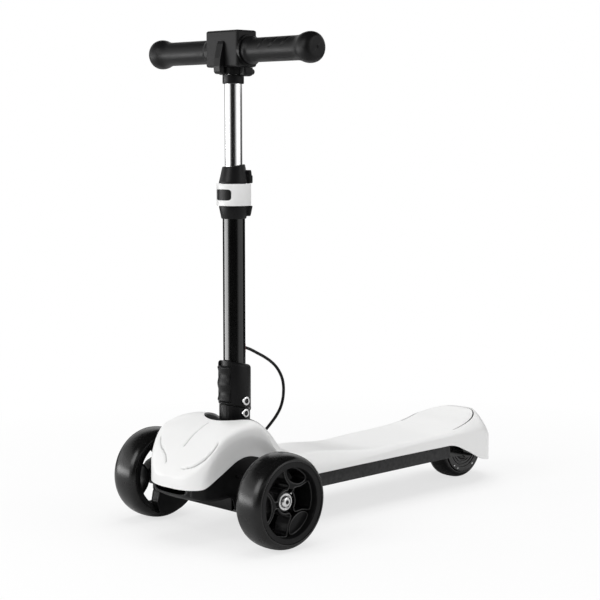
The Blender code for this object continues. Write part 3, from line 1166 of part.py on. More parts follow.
def make_head_cover(carrier):
    """Front rib that grows out of the head and ends in a free tongue beside the neck."""
    back = HEAD_FRONT_Y - GAP
    front = back - TONGUE_REACH
    low = HEAD_NECK_BOTTOM + 0.3 * MM
    outline = [(back, TONGUE_TOP), (back - 2.5 * MM, TONGUE_TOP - 4 * MM),
               (front + 1 * MM, TONGUE_TOP - 22 * MM), (front, TONGUE_TOP - 32 * MM),
               (front + 0.6 * MM, low + 3 * MM), (front + 3.4 * MM, low), (back, low)]
    tongue = plate("head_cover", [outline], -TONGUE_HALF, TONGUE_HALF, axis="X")
    return finish(bake(bevel(tongue, 1.2 * MM)), carrier, BLACK, 0.5)


def make_sleeve(carrier):
    inner = INNER_TUBE_RADIUS + GAP
    profile = [(SLEEVE_RADIUS, HEAD_NECK_BOTTOM - GAP), (SLEEVE_RADIUS - 0.6 * MM, SLEEVE_BOTTOM + 1 * MM),
               (SLEEVE_RADIUS - 1.4 * MM, SLEEVE_BOTTOM), (inner, SLEEVE_BOTTOM),
               (inner, HEAD_NECK_BOTTOM - GAP)]
    ring = turned("head_sleeve", profile, (0, STEM_Y, 0), "Z", 32, closed=True)
    return finish(bake(ring), carrier, BLACK, 0.5)


def make_grip(side_name, side, carrier):
    inner = BAR_CORE_RADIUS + GAP
    blind = BAR_CORE_HALF + GAP
    start = GRIP_START
    profile = [(0, BAR_HALF), (13 * MM, BAR_HALF - 0.8 * MM), (16.8 * MM, BAR_HALF - 3.4 * MM),
               (18.6 * MM, BAR_HALF - 8 * MM), (BULB_RADIUS, BULB_X), (18.2 * MM, BULB_X - 6 * MM),
               (16.3 * MM, BULB_X - 12 * MM), (GRIP_RADIUS + 0.2 * MM, BULB_X - 20 * MM),
               (GRIP_RADIUS, start + 8 * MM), (GRIP_FLANGE_RADIUS, start + 4 * MM),
               (GRIP_FLANGE_RADIUS, start),
               (inner, start), (inner, blind), (0, blind)]
    grip = turned("grip_" + side_name, profile, (0, STEM_Y, BAR_Z), "X" if side > 0 else "-X", 24)
    return finish(bake(grip), carrier, BLACK, 0.7)


def make_throttle_pod(carrier):
    """Rounded pod under the right-hand side of the head, with a pocket for the throttle button."""
    pod = bake(bevel(block("throttle_pod", POD_LOW, POD_HIGH), 4 * MM, 3))
    reach = HEAD_HALF + 20 * MM
    cut(pod, rod("c", (-reach, STEM_Y, BAR_Z), (reach, STEM_Y, BAR_Z), HEAD_BOSS_RADIUS + GAP, 32, cutters))
    cut(pod, block("c", (-reach, 0, HEAD_BOTTOM - GAP), (HEAD_HALF + GAP, HEAD_REAR_Y + GAP, HEAD_TOP),
                   cutters))
    cut(pod, rod("c", (0, STEM_Y, HEAD_NECK_BOTTOM - 8 * MM), (0, STEM_Y, BAR_Z), HEAD_NECK_RADIUS + GAP, 32,
                 cutters))
    cut(pod, rod("c", (BUTTON_X, BUTTON_REAR_Y - BUTTON_LENGTH - BUTTON_TRAVEL - GAP, BUTTON_Z),
                 (BUTTON_X, BUTTON_REAR_Y + 10 * MM, BUTTON_Z), BUTTON_RADIUS + GAP, 20, cutters))
    return finish(weld(bake(pod)), carrier, BLACK, 0.5)


def make_throttle_button(carrier):
    profile = [(0, 0), (BUTTON_RADIUS - 1.2 * MM, 0), (BUTTON_RADIUS, -1 * MM), (BUTTON_RADIUS, -BUTTON_LENGTH),
               (0, -BUTTON_LENGTH)]
    button = turned("throttle_button", profile, (BUTTON_X, BUTTON_REAR_Y, BUTTON_Z), "Y", 20)
    return finish(bake(button), carrier, RED, 0.4)


def make_rear_wheel(carrier):
    place = (0, REAR_Y, REAR_RADIUS)
    half = REAR_WIDTH / 2
    lip = REAR_HUB_RADIUS + GAP
    crown = [(lip, half), (REAR_RADIUS - 6 * MM, half), (REAR_RADIUS - 2.6 * MM, half - 1.8 * MM),
             (REAR_RADIUS - 0.8 * MM, half - 5.5 * MM), (REAR_RADIUS, half - 11 * MM)]
    profile = crown + [(r, -x) for r, x in reversed(crown)]
    tyre = turned("rear_tyre", profile, place, "X", 32, closed=True)
    finish(bake(tyre), carrier, BLACK, 0.4)
    hub_half = REAR_HUB_HALF
    bore = REAR_AXLE_RADIUS + GAP
    wall = 3 * MM
    # A cup, open on the side that the motor cover closes
    cup = [(REAR_HUB_RADIUS, hub_half), (REAR_HUB_RADIUS, -hub_half), (bore, -hub_half),
           (bore, -hub_half + wall), (REAR_HUB_RADIUS - wall, -hub_half + wall),
           (REAR_HUB_RADIUS - wall, hub_half)]
    finish(bake(turned("rear_hub", cup, place, "X", 32, closed=True)), carrier, DARK, 0.4)
    outer = REAR_HUB_RADIUS - wall - GAP
    face = hub_half - 0.5 * MM
    lid = [(bore, face + 2.4 * MM), (17 * MM, face + 2.4 * MM), (20 * MM, face), (outer, face),
           (outer, face - wall), (bore, face - wall)]
    finish(bake(turned("motor_cover", lid, place, "X", 32, closed=True)), carrier, DARK, 0.35)


def make_stator():
    tip = FORK_X + FORK_THICKNESS + REAR_NUT_THICKNESS + 3 * MM
    profile = [(0, tip), (REAR_AXLE_RADIUS, tip), (REAR_AXLE_RADIUS, STATOR_HALF), (STATOR_RADIUS, STATOR_HALF),
               (STATOR_RADIUS, -STATOR_HALF), (REAR_AXLE_RADIUS, -STATOR_HALF), (REAR_AXLE_RADIUS, -tip),
               (0, -tip)]
    stator = turned("motor_stator", profile, (0, REAR_Y, REAR_RADIUS), "X", 24)
    return finish(bake(stator), frame, STEEL, 0.4, 0.7)


def make_rear_nut(side_name, side):
    start = FORK_X + FORK_THICKNESS + GAP
    nut = rod("rear_nut_" + side_name, (side * start, REAR_Y, REAR_RADIUS),
              (side * (start + REAR_NUT_THICKNESS), REAR_Y, REAR_RADIUS), REAR_NUT_RADIUS, 6)
    cut(nut, rod("c", (side * (start - 5 * MM), REAR_Y, REAR_RADIUS),
                 (side * (start + 15 * MM), REAR_Y, REAR_RADIUS), REAR_AXLE_RADIUS + GAP, 16, cutters))
    return finish(weld(bake(nut)), frame, STEEL, 0.3, 1.0)


lean = pivot("lean_pivot", (0, STEM_Y, LEAN_Z), frame)
tie = pivot("tie_rod_slide", (0, STEER_ARM_LENGTH, TIE_ROD_BOTTOM), frame)
fold = pivot("fold_pivot", (0, FOLD_Y, fold_z()), lean)
latch_slide = pivot("latch_slide", (0, STEM_Y - LATCH_IN, LATCH_BOTTOM), fold)
clamp_turn = pivot("clamp_pivot", (*clamp_pin_place(), BAND_BOTTOM), fold)
mast = pivot("height_slide", (0, STEM_Y, CLAMP_TOP), fold)
button_slide = pivot("throttle_slide", (BUTTON_X, BUTTON_REAR_Y, BUTTON_Z), mast)
brake_turn = pivot("brake_pivot", (0, BRAKE_HINGE_Y, BRAKE_HINGE_Z), frame)
rear_turn = pivot("rear_wheel_pivot", (0, REAR_Y, REAR_RADIUS), frame)

make_nose_cover()
make_deck_shell()
make_front_tray()
make_axle_beam()
make_chassis_tray()
make_box_part("battery_pack", BATTERY_SIZE, BATTERY_Y, TRAY_BOTTOM + TRAY_WALL + GAP, BLUE, frame)
make_box_part("motor_controller", CONTROLLER_SIZE, CONTROLLER_Y, TRAY_BOTTOM + TRAY_WALL + GAP, GREEN, frame)
make_lean_pin()
for SIDE_NAME, SIDE in (("left", 1), ("right", -1)):
    steer = pivot("steer_pivot_" + SIDE_NAME, (SIDE * KINGPIN_X, 0, WHEEL_RADIUS), frame)
    spin = pivot("wheel_pivot_" + SIDE_NAME, (SIDE * WHEEL_X, 0, WHEEL_RADIUS), steer)
    make_kingpin(SIDE_NAME, SIDE)
    make_knuckle(SIDE_NAME, SIDE, steer)
    make_front_axle(SIDE_NAME, SIDE, steer)
    make_front_wheel(SIDE_NAME, SIDE, spin)
    make_buffer(SIDE_NAME, SIDE)
    make_fork_plate("fork_plate_" + SIDE_NAME, SIDE)
    make_rear_nut(SIDE_NAME, SIDE)
    make_grip(SIDE_NAME, SIDE, mast)
make_tie_rod(tie)
make_lean_block(lean)
make_stem_base(lean)
make_cross_bolt("base_bolt", BASE_BOLT_Z, lean, BASE_RADIUS)
finish(rod("hinge_pin", (-FOLD_LUG_END, FOLD_Y, fold_z()), (FOLD_LUG_END, FOLD_Y, fold_z()),
           FOLD_PIN_RADIUS, 12), lean, STEEL, 0.3, 1.0)
make_stem_socket(fold)
make_cross_bolt("socket_bolt", SOCKET_BOLT_Z, fold, SOCKET_RADIUS)
tube_ring("outer_tube", OUTER_TUBE_RADIUS, TUBE_WALL, OUTER_TUBE_BOTTOM, OUTER_TUBE_TOP, fold, BLACK, 0.2, 0.3)
tube_ring("tube_bushing", OUTER_TUBE_RADIUS - TUBE_WALL - 0.25 * MM, 0.7 * MM, OUTER_TUBE_TOP - BUSHING_LENGTH,
          OUTER_TUBE_TOP, fold, DARK, 0.6, 0.0, 24)
make_grommet(fold)
make_cable(fold)
make_clamp_collar(fold)
make_clamp_pin(fold)
make_clamp_lever(clamp_turn)
make_latch(latch_slide)
tube_ring("inner_tube", INNER_TUBE_RADIUS, 1.5 * MM, INNER_TUBE_BOTTOM, INNER_TUBE_TOP, mast, CHROME, 0.08, 1.0)
make_sleeve(mast)
make_head(mast)
make_head_cover(mast)
finish(rod("bar_core", (-BAR_CORE_HALF, STEM_Y, BAR_Z), (BAR_CORE_HALF, STEM_Y, BAR_Z), BAR_CORE_RADIUS, 24),
       mast, STEEL, 0.4, 0.9)
make_throttle_pod(mast)
make_throttle_button(button_slide)
make_stator()
make_rear_wheel(rear_turn)
make_brake_pedal(brake_turn)
finish(rod("brake_hinge_pin", (-FORK_X - FORK_THICKNESS, BRAKE_HINGE_Y, BRAKE_HINGE_Z),
           (FORK_X + FORK_THICKNESS, BRAKE_HINGE_Y, BRAKE_HINGE_Z), BRAKE_PIN_RADIUS, 12),
       frame, STEEL, 0.3, 1.0)
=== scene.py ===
# %% [markdown]
# # Dressing a kids electric scooter
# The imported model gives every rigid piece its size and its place. This script dresses that frame: it sets
# the camera, the floor and the lamps, gives every surface a finish built from nodes, and adds the pieces
# that are easier to shape here than in CAD. The frame is loaded first, because everything hangs on it.

import json
import math

import bmesh
import bpy
from mathutils import Matrix, Vector
from mathutils.bvhtree import BVHTree
from mathutils.kdtree import KDTree


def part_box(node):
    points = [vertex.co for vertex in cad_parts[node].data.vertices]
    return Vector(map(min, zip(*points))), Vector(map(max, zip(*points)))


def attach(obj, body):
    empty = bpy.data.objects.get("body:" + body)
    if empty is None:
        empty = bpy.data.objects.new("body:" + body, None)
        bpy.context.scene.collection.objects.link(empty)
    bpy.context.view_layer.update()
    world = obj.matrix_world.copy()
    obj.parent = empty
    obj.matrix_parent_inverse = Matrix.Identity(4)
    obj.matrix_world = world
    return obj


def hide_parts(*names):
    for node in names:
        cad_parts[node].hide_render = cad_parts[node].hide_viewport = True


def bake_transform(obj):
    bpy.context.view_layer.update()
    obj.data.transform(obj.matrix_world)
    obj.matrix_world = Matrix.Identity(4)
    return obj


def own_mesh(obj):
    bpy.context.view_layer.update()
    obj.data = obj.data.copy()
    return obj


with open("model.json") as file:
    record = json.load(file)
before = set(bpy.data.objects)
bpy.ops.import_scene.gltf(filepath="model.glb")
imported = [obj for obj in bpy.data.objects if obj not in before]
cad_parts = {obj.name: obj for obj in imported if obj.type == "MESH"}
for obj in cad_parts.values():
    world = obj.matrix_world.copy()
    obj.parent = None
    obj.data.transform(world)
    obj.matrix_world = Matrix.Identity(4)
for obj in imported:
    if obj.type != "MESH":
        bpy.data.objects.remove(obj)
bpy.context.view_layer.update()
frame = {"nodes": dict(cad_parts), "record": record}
node = frame["nodes"]

# %% [markdown]
# ## Units and the frame's origin
# The drawing behind this scooter is in millimetres, with Y counted from the front axle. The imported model
# is in metres, with Y counted from the middle of the box. One helper turns drawing numbers into places in
# the frame, so that each number in this script can be read with a ruler in mind.

# %% Millimetres to the frame
MM = 0.001
AXLE_Y = (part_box("front_tyre_left")[0].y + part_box("front_tyre_left")[1].y) / 2


def place(x, y, z):
    """A point of the drawing, in millimetres from the front axle, as a point of the frame."""
    return Vector((x * MM, y * MM + AXLE_Y, z * MM))


print("front axle at Y", round(AXLE_Y, 4))

# %% [markdown]
# ## The camera
# The photograph looks at the front left of the scooter from knee height, with a long lens, so that upright
# lines stay upright. A camera is a place, two angles and a focal length. These were found by matching the
# outlines of the wheels, the stem and the bar with the picture, and they are simply stated here.

# %% Camera at the photograph's place
CAMERA_PLACE = place(1500.0, -1326.9, 511.9)
CAMERA_TURN = 45.4155
CAMERA_DIP = 6.0685
CAMERA_LENS = 95.18
camera = bpy.data.objects.new("camera", bpy.data.cameras.new("camera"))
bpy.context.scene.collection.objects.link(camera)
camera.location = CAMERA_PLACE
camera.rotation_euler = (math.radians(90 - CAMERA_DIP), 0, math.radians(CAMERA_TURN))
camera.data.lens = CAMERA_LENS
camera.data.sensor_width = 36
bpy.context.scene.camera = camera
print("camera distance to the stem", round((CAMERA_PLACE - place(0, 33, 300)).length, 3))

# %% [markdown]
# ## The cable loop
# The wires of the throttle leave the stem through a rubber grommet, hang in a loop behind it and dive into
# the nose cover. Such a loop could be a bevelled curve or a mesh tube. A mesh tube is used, because the loop
# must bend when the stem folds or leans, and only vertices can bend. It is made in two lengths that meet end
# to end: a short lower one, the part that the lean would bend, and a long upper one, the part that the fold
# would bend.

# %% Smooth line through points
def smooth_line(points, steps, closed=False):
    """Points along a smooth curve through the given ones, whatever their number of axes."""
    points = [Vector(p) for p in points]
    last = len(points) - 1
    line = []
    for i in range(len(points) if closed else last):
        if closed:
            a, b, c, d = (points[(i + k) % len(points)] for k in (-1, 0, 1, 2))
        else:
            a, b, c, d = (points[k] for k in (max(i - 1, 0), i, i + 1, min(i + 2, last)))
        for k in range(steps):
            t = k / steps
            line.append(0.5 * (2 * b + (c - a) * t + (2 * a - 5 * b + 4 * c - d) * t ** 2
                               + (3 * b - a - 3 * c + d) * t ** 3))
    return line if closed else line + [points[-1]]


print("three points in four steps each give", len(smooth_line([(0, 0), (1, 1), (2, 0)], 4)), "points")

# %% [markdown]
# The route was traced from the photograph, as distances behind the axle and heights. The curve runs straight
# out of the grommet for a few diameters before it falls.

# %% Route of the cable
CABLE_ROUTE = [(47.6, 233.5), (50.2, 233.5), (53.6, 233.0), (62.1, 229.8), (73.5, 224.2), (84.9, 218.5),
               (96.5, 211.5), (105.9, 204.0), (113.0, 195.5), (118.2, 186.0), (120.4, 177.0), (120.7, 168.0),
               (119.2, 157.5), (114.8, 146.7), (107.2, 137.0), (98.3, 129.0), (89.5, 122.0), (81.0, 115.5),
               (74.0, 109.5)]
CABLE_THICKNESS = 4.0
LOWER_START = 15
CABLE_STEPS = 4
cable_line = [place(0, p.x, p.y) for p in smooth_line(CABLE_ROUTE, CABLE_STEPS)]
split = LOWER_START * CABLE_STEPS
upper_line, lower_line = cable_line[:split + 1], cable_line[split:]


def line_length(line):
    return sum((b - a).length for a, b in zip(line, line[1:]))


print("cable, upper and lower length:", round(line_length(upper_line), 4), round(line_length(lower_line), 4))

# %% [markdown]
# Most pieces here are rows of vertices joined by quads. Two helpers serve them all: one joins the rows, and
# one turns the result into an object. Faces are smooth, except across edges sharper than a given angle.

# %% Rows of vertices and a new object
def new_object(name, bm, sharp=35):
    """Turn a bmesh into an object whose faces are smooth up to a sharp angle."""
    bmesh.ops.remove_doubles(bm, verts=bm.verts, dist=0.00002)
    bmesh.ops.recalc_face_normals(bm, faces=bm.faces[:])
    mesh = bpy.data.meshes.new(name)
    bm.to_mesh(mesh)
    bm.free()
    mesh.shade_smooth()
    mesh.set_sharp_from_angle(angle=math.radians(sharp))
    made = bpy.data.objects.new(name, mesh)
    bpy.context.scene.collection.objects.link(made)
    return made


def join_rows(bm, rows, around=False):
    """Quads between neighbouring rows of vertices; around also joins the end of each row to its start."""
    for a, b in zip(rows, rows[1:]):
        for i in range(len(a) if around else len(a) - 1):
            j = (i + 1) % len(a)
            bm.faces.new((a[i], a[j], b[j], b[i]))


print("an edge is kept sharp from", new_object.__defaults__[0], "degrees")

# %% [markdown]
# A tube is a ring of vertices carried along the route. The route stays in one plane, so the ring needs no
# twist control: one direction is always X, and the other is at right angles to both X and the route.

# %% Tube along a flat route
def circle(first, second, count):
    """Offsets round a circle that is spanned by two vectors."""
    turns = [2 * math.pi * k / count for k in range(count)]
    return [math.cos(t) * first + math.sin(t) * second for t in turns]


def tube_mesh(name, line, radius, sides=14):
    """A closed tube along a route that lies in a plane across X."""
    bm = bmesh.new()
    across = Vector((1, 0, 0))
    rings = []
    for i, point in enumerate(line):
        ahead = (line[min(i + 1, len(line) - 1)] - line[max(i - 1, 0)]).normalized()
        offsets = circle(across, across.cross(ahead), sides)
        rings.append([bm.verts.new(point + radius * offset) for offset in offsets])
    join_rows(bm, rings, around=True)
    bm.faces.new(rings[0][::-1])
    bm.faces.new(rings[-1])
    return new_object(name, bm)


cable_upper = tube_mesh("cable_loop", upper_line, CABLE_THICKNESS / 2 * MM)
cable_lower = tube_mesh("cable_tail", lower_line, CABLE_THICKNESS / 2 * MM)
print("cable faces:", len(cable_upper.data.polygons), len(cable_lower.data.polygons))

# %% [markdown]
# Each length stands for the CAD cable, which is hidden.

# %% Cable in place of the CAD cable
for piece in (cable_upper, cable_lower):
    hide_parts("motor_cable")
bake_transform(cable_upper)
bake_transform(cable_lower)

# %% [markdown]
# ## How a finish is built
# Every finish starts from the Principled shader. What makes it look real is small: a slow drift of the
# colour, a roughness that is not quite even, a surface that is not quite flat, and edges that are a little
# rubbed. Nodes take many lines to place and link, so a short call does both.

# %% Nodes in one call
def node_adder(tree):
    """A function that adds a node to this tree: it links the sockets it gets and sets the values."""
    def add(kind, inputs=None, **settings):
        new = tree.nodes.new(kind)
        for key, value in settings.items():
            setattr(new, key, value)
        for key, value in (inputs or {}).items():
            if isinstance(value, bpy.types.NodeSocket):
                tree.links.new(value, new.inputs[key])
            else:
                new.inputs[key].default_value = value
        return new

    return add


def start_material(name):
    """A new node material: the material, a function that adds a node, and its shader."""
    material = bpy.data.materials.new(name)
    material.use_nodes = True
    tree = material.node_tree
    return material, node_adder(tree), tree.nodes["Principled BSDF"]


def show(material, shader_socket):
    """Let this shader be what the material shows."""
    output = material.node_tree.nodes["Material Output"]
    material.node_tree.links.new(shader_socket, output.inputs["Surface"])


# %% [markdown]
# Three short helpers give the building blocks: noise with a grain of real size, a value brought into a new
# range, and two colours mixed.

# %% Noise, range and mix
def noise(add, scale, detail=3.0, stretch=(1, 1, 1)):
    """Noise in the frame's own metres, so that its grain has a real size."""
    where = add("ShaderNodeTexCoord").outputs["Object"]
    sized = add("ShaderNodeMapping", {"Vector": where, "Scale": stretch}).outputs["Vector"]
    return add("ShaderNodeTexNoise", {"Vector": sized, "Scale": scale, "Detail": detail}).outputs["Fac"]


def ramp(add, value, low, high, start=0.0, end=1.0):
    """value between low and high, spread over start to end."""
    return add("ShaderNodeMapRange", {"Value": value, "From Min": low, "From Max": high,
                                      "To Min": start, "To Max": end}).outputs["Result"]


def mix(add, amount, first, second):
    """Two colours mixed by amount; a colour mix keeps its sockets at 0, 6 and 7, and its result at 2."""
    return add("ShaderNodeMix", {0: amount, 6: first, 7: second}, data_type="RGBA").outputs[2]


# %% [markdown]
# One helper then builds the four layers, and each finish states its own amounts. Rubbed edges and a painted
# shade in grooves both come from the sharpness of the mesh, which Blender calls pointiness: above a half on
# an outer edge, below it in a groove, where the colour is darkened to stand for shade.

# %% The four layers of a surface
def surface(name, colour, drift, roughness, spread, grain, depth, metal=0.0, rubbed=None, coat=0.0,
            stretch=(1, 1, 1), specular=0.5, edge=(0.56, 0.7), groove_shade=None):
    """A finish: a colour that drifts, an uneven roughness, a fine grain, rubbed edges and, if asked, painted
    shade in grooves.
    """
    material, add, shader = start_material(name)
    tree = material.node_tree
    broad = noise(add, 14.0)
    base = mix(add, ramp(add, broad, 0.3, 0.7), (*[c * (1 - drift) for c in colour], 1),
               (*[min(c * (1 + drift), 1) for c in colour], 1))
    if rubbed:
        sharpness = add("ShaderNodeNewGeometry").outputs["Pointiness"]
        worn = add("ShaderNodeMath", {0: ramp(add, sharpness, *edge), 1: noise(add, 180.0)},
                   operation="MULTIPLY").outputs["Value"]
        base = mix(add, worn, base, (*rubbed, 1))
    # painted shade: grooves and creases take a darker colour, as shade would darken them
    if groove_shade:
        groove_shade_mask = ramp(add, add("ShaderNodeNewGeometry").outputs["Pointiness"], 0.49, 0.43)
        base = mix(add, groove_shade_mask, base, (*groove_shade, 1))
    tree.links.new(base, shader.inputs["Base Color"])
    patchy = ramp(add, noise(add, 55.0, 5.0, stretch), 0.3, 0.7, roughness - spread, roughness + spread)
    tree.links.new(patchy, shader.inputs["Roughness"])
    bump = add("ShaderNodeBump", {"Height": noise(add, grain, 2.0, stretch), "Strength": 1.0,
                                  "Distance": depth * MM})
    tree.links.new(bump.outputs["Normal"], shader.inputs["Normal"])
    shader.inputs["Metallic"].default_value = metal
    shader.inputs["Specular IOR Level"].default_value = specular
    shader.inputs["Coat Weight"].default_value = coat
    shader.inputs["Coat Roughness"].default_value = 0.08
    return material


# %% [markdown]
# ## Finishes of this scooter
# White covers are injection moulded and almost glossy. The black mouldings carry a fine spark texture. The
# tyres are cast polyurethane: dense, smooth and a little waxy. The stem is a lacquered steel tube, and the
# telescopic tube inside it is chrome plated. Metal grain runs along the part, so its noise is stretched.
# A black plastic mirrors less than a white one seems to, so the black finishes get a low specular level.

# %% Finishes by name
FINISHES = {
    # the white plastic takes painted shade in its grooves
    "white_plastic": surface("white_cover_plastic", (0.86, 0.86, 0.855), 0.01, 0.34, 0.04, 420, 0.006,
                             rubbed=(0.8, 0.8, 0.79), specular=0.3, groove_shade=(0.33, 0.33, 0.33)),
    "black_plastic": surface("black_spark_plastic", (0.006, 0.006, 0.0063), 0.2, 0.38, 0.05, 2600, 0.02,
                             rubbed=(0.07, 0.07, 0.071), specular=0.13),
    "red_plastic": surface("dark_red_plastic", (0.2, 0.012, 0.014), 0.15, 0.4, 0.06, 1500, 0.02,
                           rubbed=(0.3, 0.05, 0.05), specular=0.3),
    "controller_case": surface("green_case", (0.03, 0.16, 0.08), 0.2, 0.5, 0.06, 1200, 0.02,
                               rubbed=(0.1, 0.24, 0.15)),
    "battery_wrap": surface("blue_shrink_wrap", (0.04, 0.1, 0.32), 0.15, 0.3, 0.08, 160, 0.05,
                            rubbed=(0.12, 0.2, 0.45)),
    "tyre": surface("cast_tyre", (0.004, 0.004, 0.004), 0.2, 0.25, 0.04, 900, 0.008,
                    rubbed=(0.03, 0.03, 0.03), specular=0.3),
    "rubber": surface("soft_rubber", (0.006, 0.006, 0.0063), 0.2, 0.42, 0.06, 1500, 0.02,
                      rubbed=(0.05, 0.05, 0.05), specular=0.14),
    "black_painted": surface("black_lacquer", (0.003, 0.003, 0.003), 0.2, 0.13, 0.02, 320, 0.003,
                             rubbed=(0.04, 0.04, 0.04)),
    "chrome": surface("chrome_plate", (0.88, 0.88, 0.885), 0.02, 0.13, 0.02, 240, 0.002, metal=1.0,
                      rubbed=(0.75, 0.75, 0.76), stretch=(1, 1, 0.15)),
    "steel": surface("zinc_steel", (0.62, 0.62, 0.62), 0.08, 0.28, 0.06, 800, 0.006, metal=1.0,
                     rubbed=(0.75, 0.75, 0.77), stretch=(1, 1, 0.3)),
    "aluminium": surface("cast_aluminium", (0.55, 0.55, 0.56), 0.08, 0.42, 0.08, 1100, 0.02, metal=1.0,
                         rubbed=(0.7, 0.7, 0.72)),
}
print("finishes:", ", ".join(sorted(FINISHES)))

# %% [markdown]
# The record says which finish each node takes. Assigning by that list keeps the render and the record in
# step: nothing is left with the plain colour that came with the frame. Only the cast steering knuckles get
# black lacquer over their metal, as the photograph shows them.

# %% Finish on every node
for subpart in frame["record"]["subparts"]:
    target = node[subpart["node"]]
    target.data.materials.clear()
    target.data.materials.append(FINISHES[subpart["material_slot"]])
for piece in (cable_upper, cable_lower):
    piece.data.materials.append(FINISHES["rubber"])
for side_name in ("left", "right"):
    node["knuckle_" + side_name].data.materials[0] = FINISHES["black_painted"]

# %% [markdown]
# Mouldings and castings have no knife edges. The small black parts keep their CAD shape, and a modifier
# rounds their edges: flat triangles are first merged to whole faces, so that only real edges are rounded.

# %% Round the edges of CAD parts
def soften(name, width):
    """Round the edges of one node by width millimetres, without touching its mesh."""
    merge = node[name].modifiers.new("whole_faces", "DECIMATE")
    merge.decimate_type = "DISSOLVE"
    merge.angle_limit = math.radians(1.5)
    rounding = node[name].modifiers.new("round_edges", "BEVEL")
    rounding.width = width * MM
    rounding.segments = 2
    rounding.limit_method = "ANGLE"
    rounding.angle_limit = math.radians(40)
    rounding.use_clamp_overlap = False
    rounding.harden_normals = True


EDGE_WIDTHS = {"stem_base": 0.8, "head_body": 1.0, "head_cover": 0.8, "throttle_pod": 0.8,
               "chassis_tray": 0.8, "lean_block": 0.8, "knuckle_left": 0.8, "knuckle_right": 0.8,
               "axle_beam": 0.6, "tie_rod": 0.6, "fork_plate_left": 0.4, "fork_plate_right": 0.4}
for name, width in EDGE_WIDTHS.items():
    soften(name, width)
print("CAD parts with rounded edges:", sum(1 for piece in node.values() if piece.modifiers))

# %% [markdown]
# ## How a piece joins the frame
# A new piece needs three things: a finish, which is found by its name, the body it moves with, and the CAD
# nodes it stands for. One helper does all three, so that no piece can be left behind when a joint moves.

# %% Dress a piece
def dress(piece, slot_name, body, *stands_for):
    """Give a piece its finish and its body, and hide the CAD nodes that it stands for."""
    piece.data.materials.clear()
    piece.data.materials.append(FINISHES[slot_name])
    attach(piece, body)
    if stands_for:
        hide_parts(*stands_for)
    return piece


# %% [markdown]
# ## Tools for moulded skins
# The white covers are thin mouldings with one smooth, curved skin. A skin is lofted through half sections:
# each is a row of points from the middle outward, mirrored to the other side. Where the CAD keeps few
# rows, the dressed skin takes many, so that light runs over it without facets.

# %% Read a drawn line, loft a skin
def along(points, value):
    """Read a smooth line through (place, size) points at one place."""
    if value <= points[0][0]:
        return points[0][1]
    if value >= points[-1][0]:
        return points[-1][1]
    i = max(k for k in range(len(points) - 1) if points[k][0] <= value)
    before, start, end, after = (points[k] for k in (max(i - 1, 0), i, i + 1, min(i + 2, len(points) - 1)))
    span = end[0] - start[0]
    t = (value - start[0]) / span
    slope_in = (end[1] - before[1]) / (end[0] - before[0]) * span
    slope_out = (after[1] - start[1]) / (after[0] - start[0]) * span
    return ((2 * t ** 3 - 3 * t ** 2 + 1) * start[1] + (t ** 3 - 2 * t ** 2 + t) * slope_in
            + (-2 * t ** 3 + 3 * t ** 2) * end[1] + (t ** 3 - t ** 2) * slope_out)


def loft(rows):
    """A bmesh skin through half sections, each a list of (x, y, z) in drawing millimetres."""
    bm = bmesh.new()
    rings = []
    for row in rows:
        left = [(-x, y, z) for x, y, z in reversed(row[1:])]
        rings.append([bm.verts.new(place(*p)) for p in left + list(row)])
    join_rows(bm, rings)
    bmesh.ops.remove_doubles(bm, verts=bm.verts, dist=0.00005)
    bmesh.ops.recalc_face_normals(bm, faces=bm.faces[:])
    if max(bm.faces, key=lambda f: f.calc_center_median().z).normal.z < 0:
        bmesh.ops.reverse_faces(bm, faces=bm.faces[:])
    return bm


def steps_between(first, last, step):
    """Even values from first to last, both included, no further apart than step."""
    count = math.ceil(abs(last - first) / step)
    return [first + (last - first) * k / count for k in range(count + 1)]


print("0 to 10 in steps of 4 at most:", [round(v, 2) for v in steps_between(0, 10, 4)])

# %% [markdown]
# Fine grooves in a skin could be a bump in the material, but then an exported mesh would lose them. Here
# the vertices near a line are pressed inward instead, by a smooth amount that fades towards both ends.

# %% Press soft grooves into a skin
def carve(bm, lines, width, depth, fade=6.0):
    """Press grooves of this half width and depth, in millimetres, along lines that lie near the skin."""
    bm.normal_update()
    bm.verts.ensure_lookup_table()
    skin = BVHTree.FromBMesh(bm)
    places = KDTree(len(bm.verts))
    for vertex in bm.verts:
        places.insert(vertex.co, vertex.index)
    places.balance()
    push = {}
    for line in lines:
        for i, point in enumerate(line):
            share = i / (len(line) - 1)
            strength = min(1, fade * share + 0.05, fade * (1 - share) + 0.05)
            on_skin = skin.find_nearest(point)[0]
            for _, index, gap in places.find_range(on_skin, width * MM):
                amount = depth * MM * strength * (0.5 + 0.5 * math.cos(math.pi * gap / (width * MM)))
                push[index] = max(push.get(index, 0), amount)
    for index, amount in push.items():
        bm.verts[index].co -= bm.verts[index].normal * amount
    return len(push)


# %% [markdown]
# A skin becomes a moulding by giving it a wall. Holes are then cut with a prism of the hole's outline. A
# modifier does each of these jobs, and its result is kept at once, so that the next tool meets plain mesh.

# %% Wall and cut
def settle(piece):
    """Replace a piece's mesh by what its modifiers make of it."""
    bpy.context.view_layer.update()
    mesh = bpy.data.meshes.new_from_object(piece.evaluated_get(bpy.context.evaluated_depsgraph_get()))
    piece.modifiers.clear()
    piece.data = mesh
    return piece


def give_wall(piece, wall):
    """Thicken a skin inward by wall millimetres, and apply it."""
    modifier = piece.modifiers.new("wall", "SOLIDIFY")
    modifier.thickness = wall * MM
    modifier.offset = -1.0
    modifier.use_even_offset = True
    return settle(piece)


def cut(piece, cutter, operation="DIFFERENCE"):
    """Cut a piece with another one, which is then removed. INTERSECT keeps what both share."""
    modifier = piece.modifiers.new("cut", "BOOLEAN")
    modifier.operation = operation
    modifier.object = cutter
    settle(piece)
    bpy.data.objects.remove(cutter)
    return piece


# %% [markdown]
# Lugs, pads and cutters start as one of three plain shapes: a block with rounded edges, an upright prism of
# any outline, or an upright strip with a wall. An arc helper draws the round parts of their outlines.

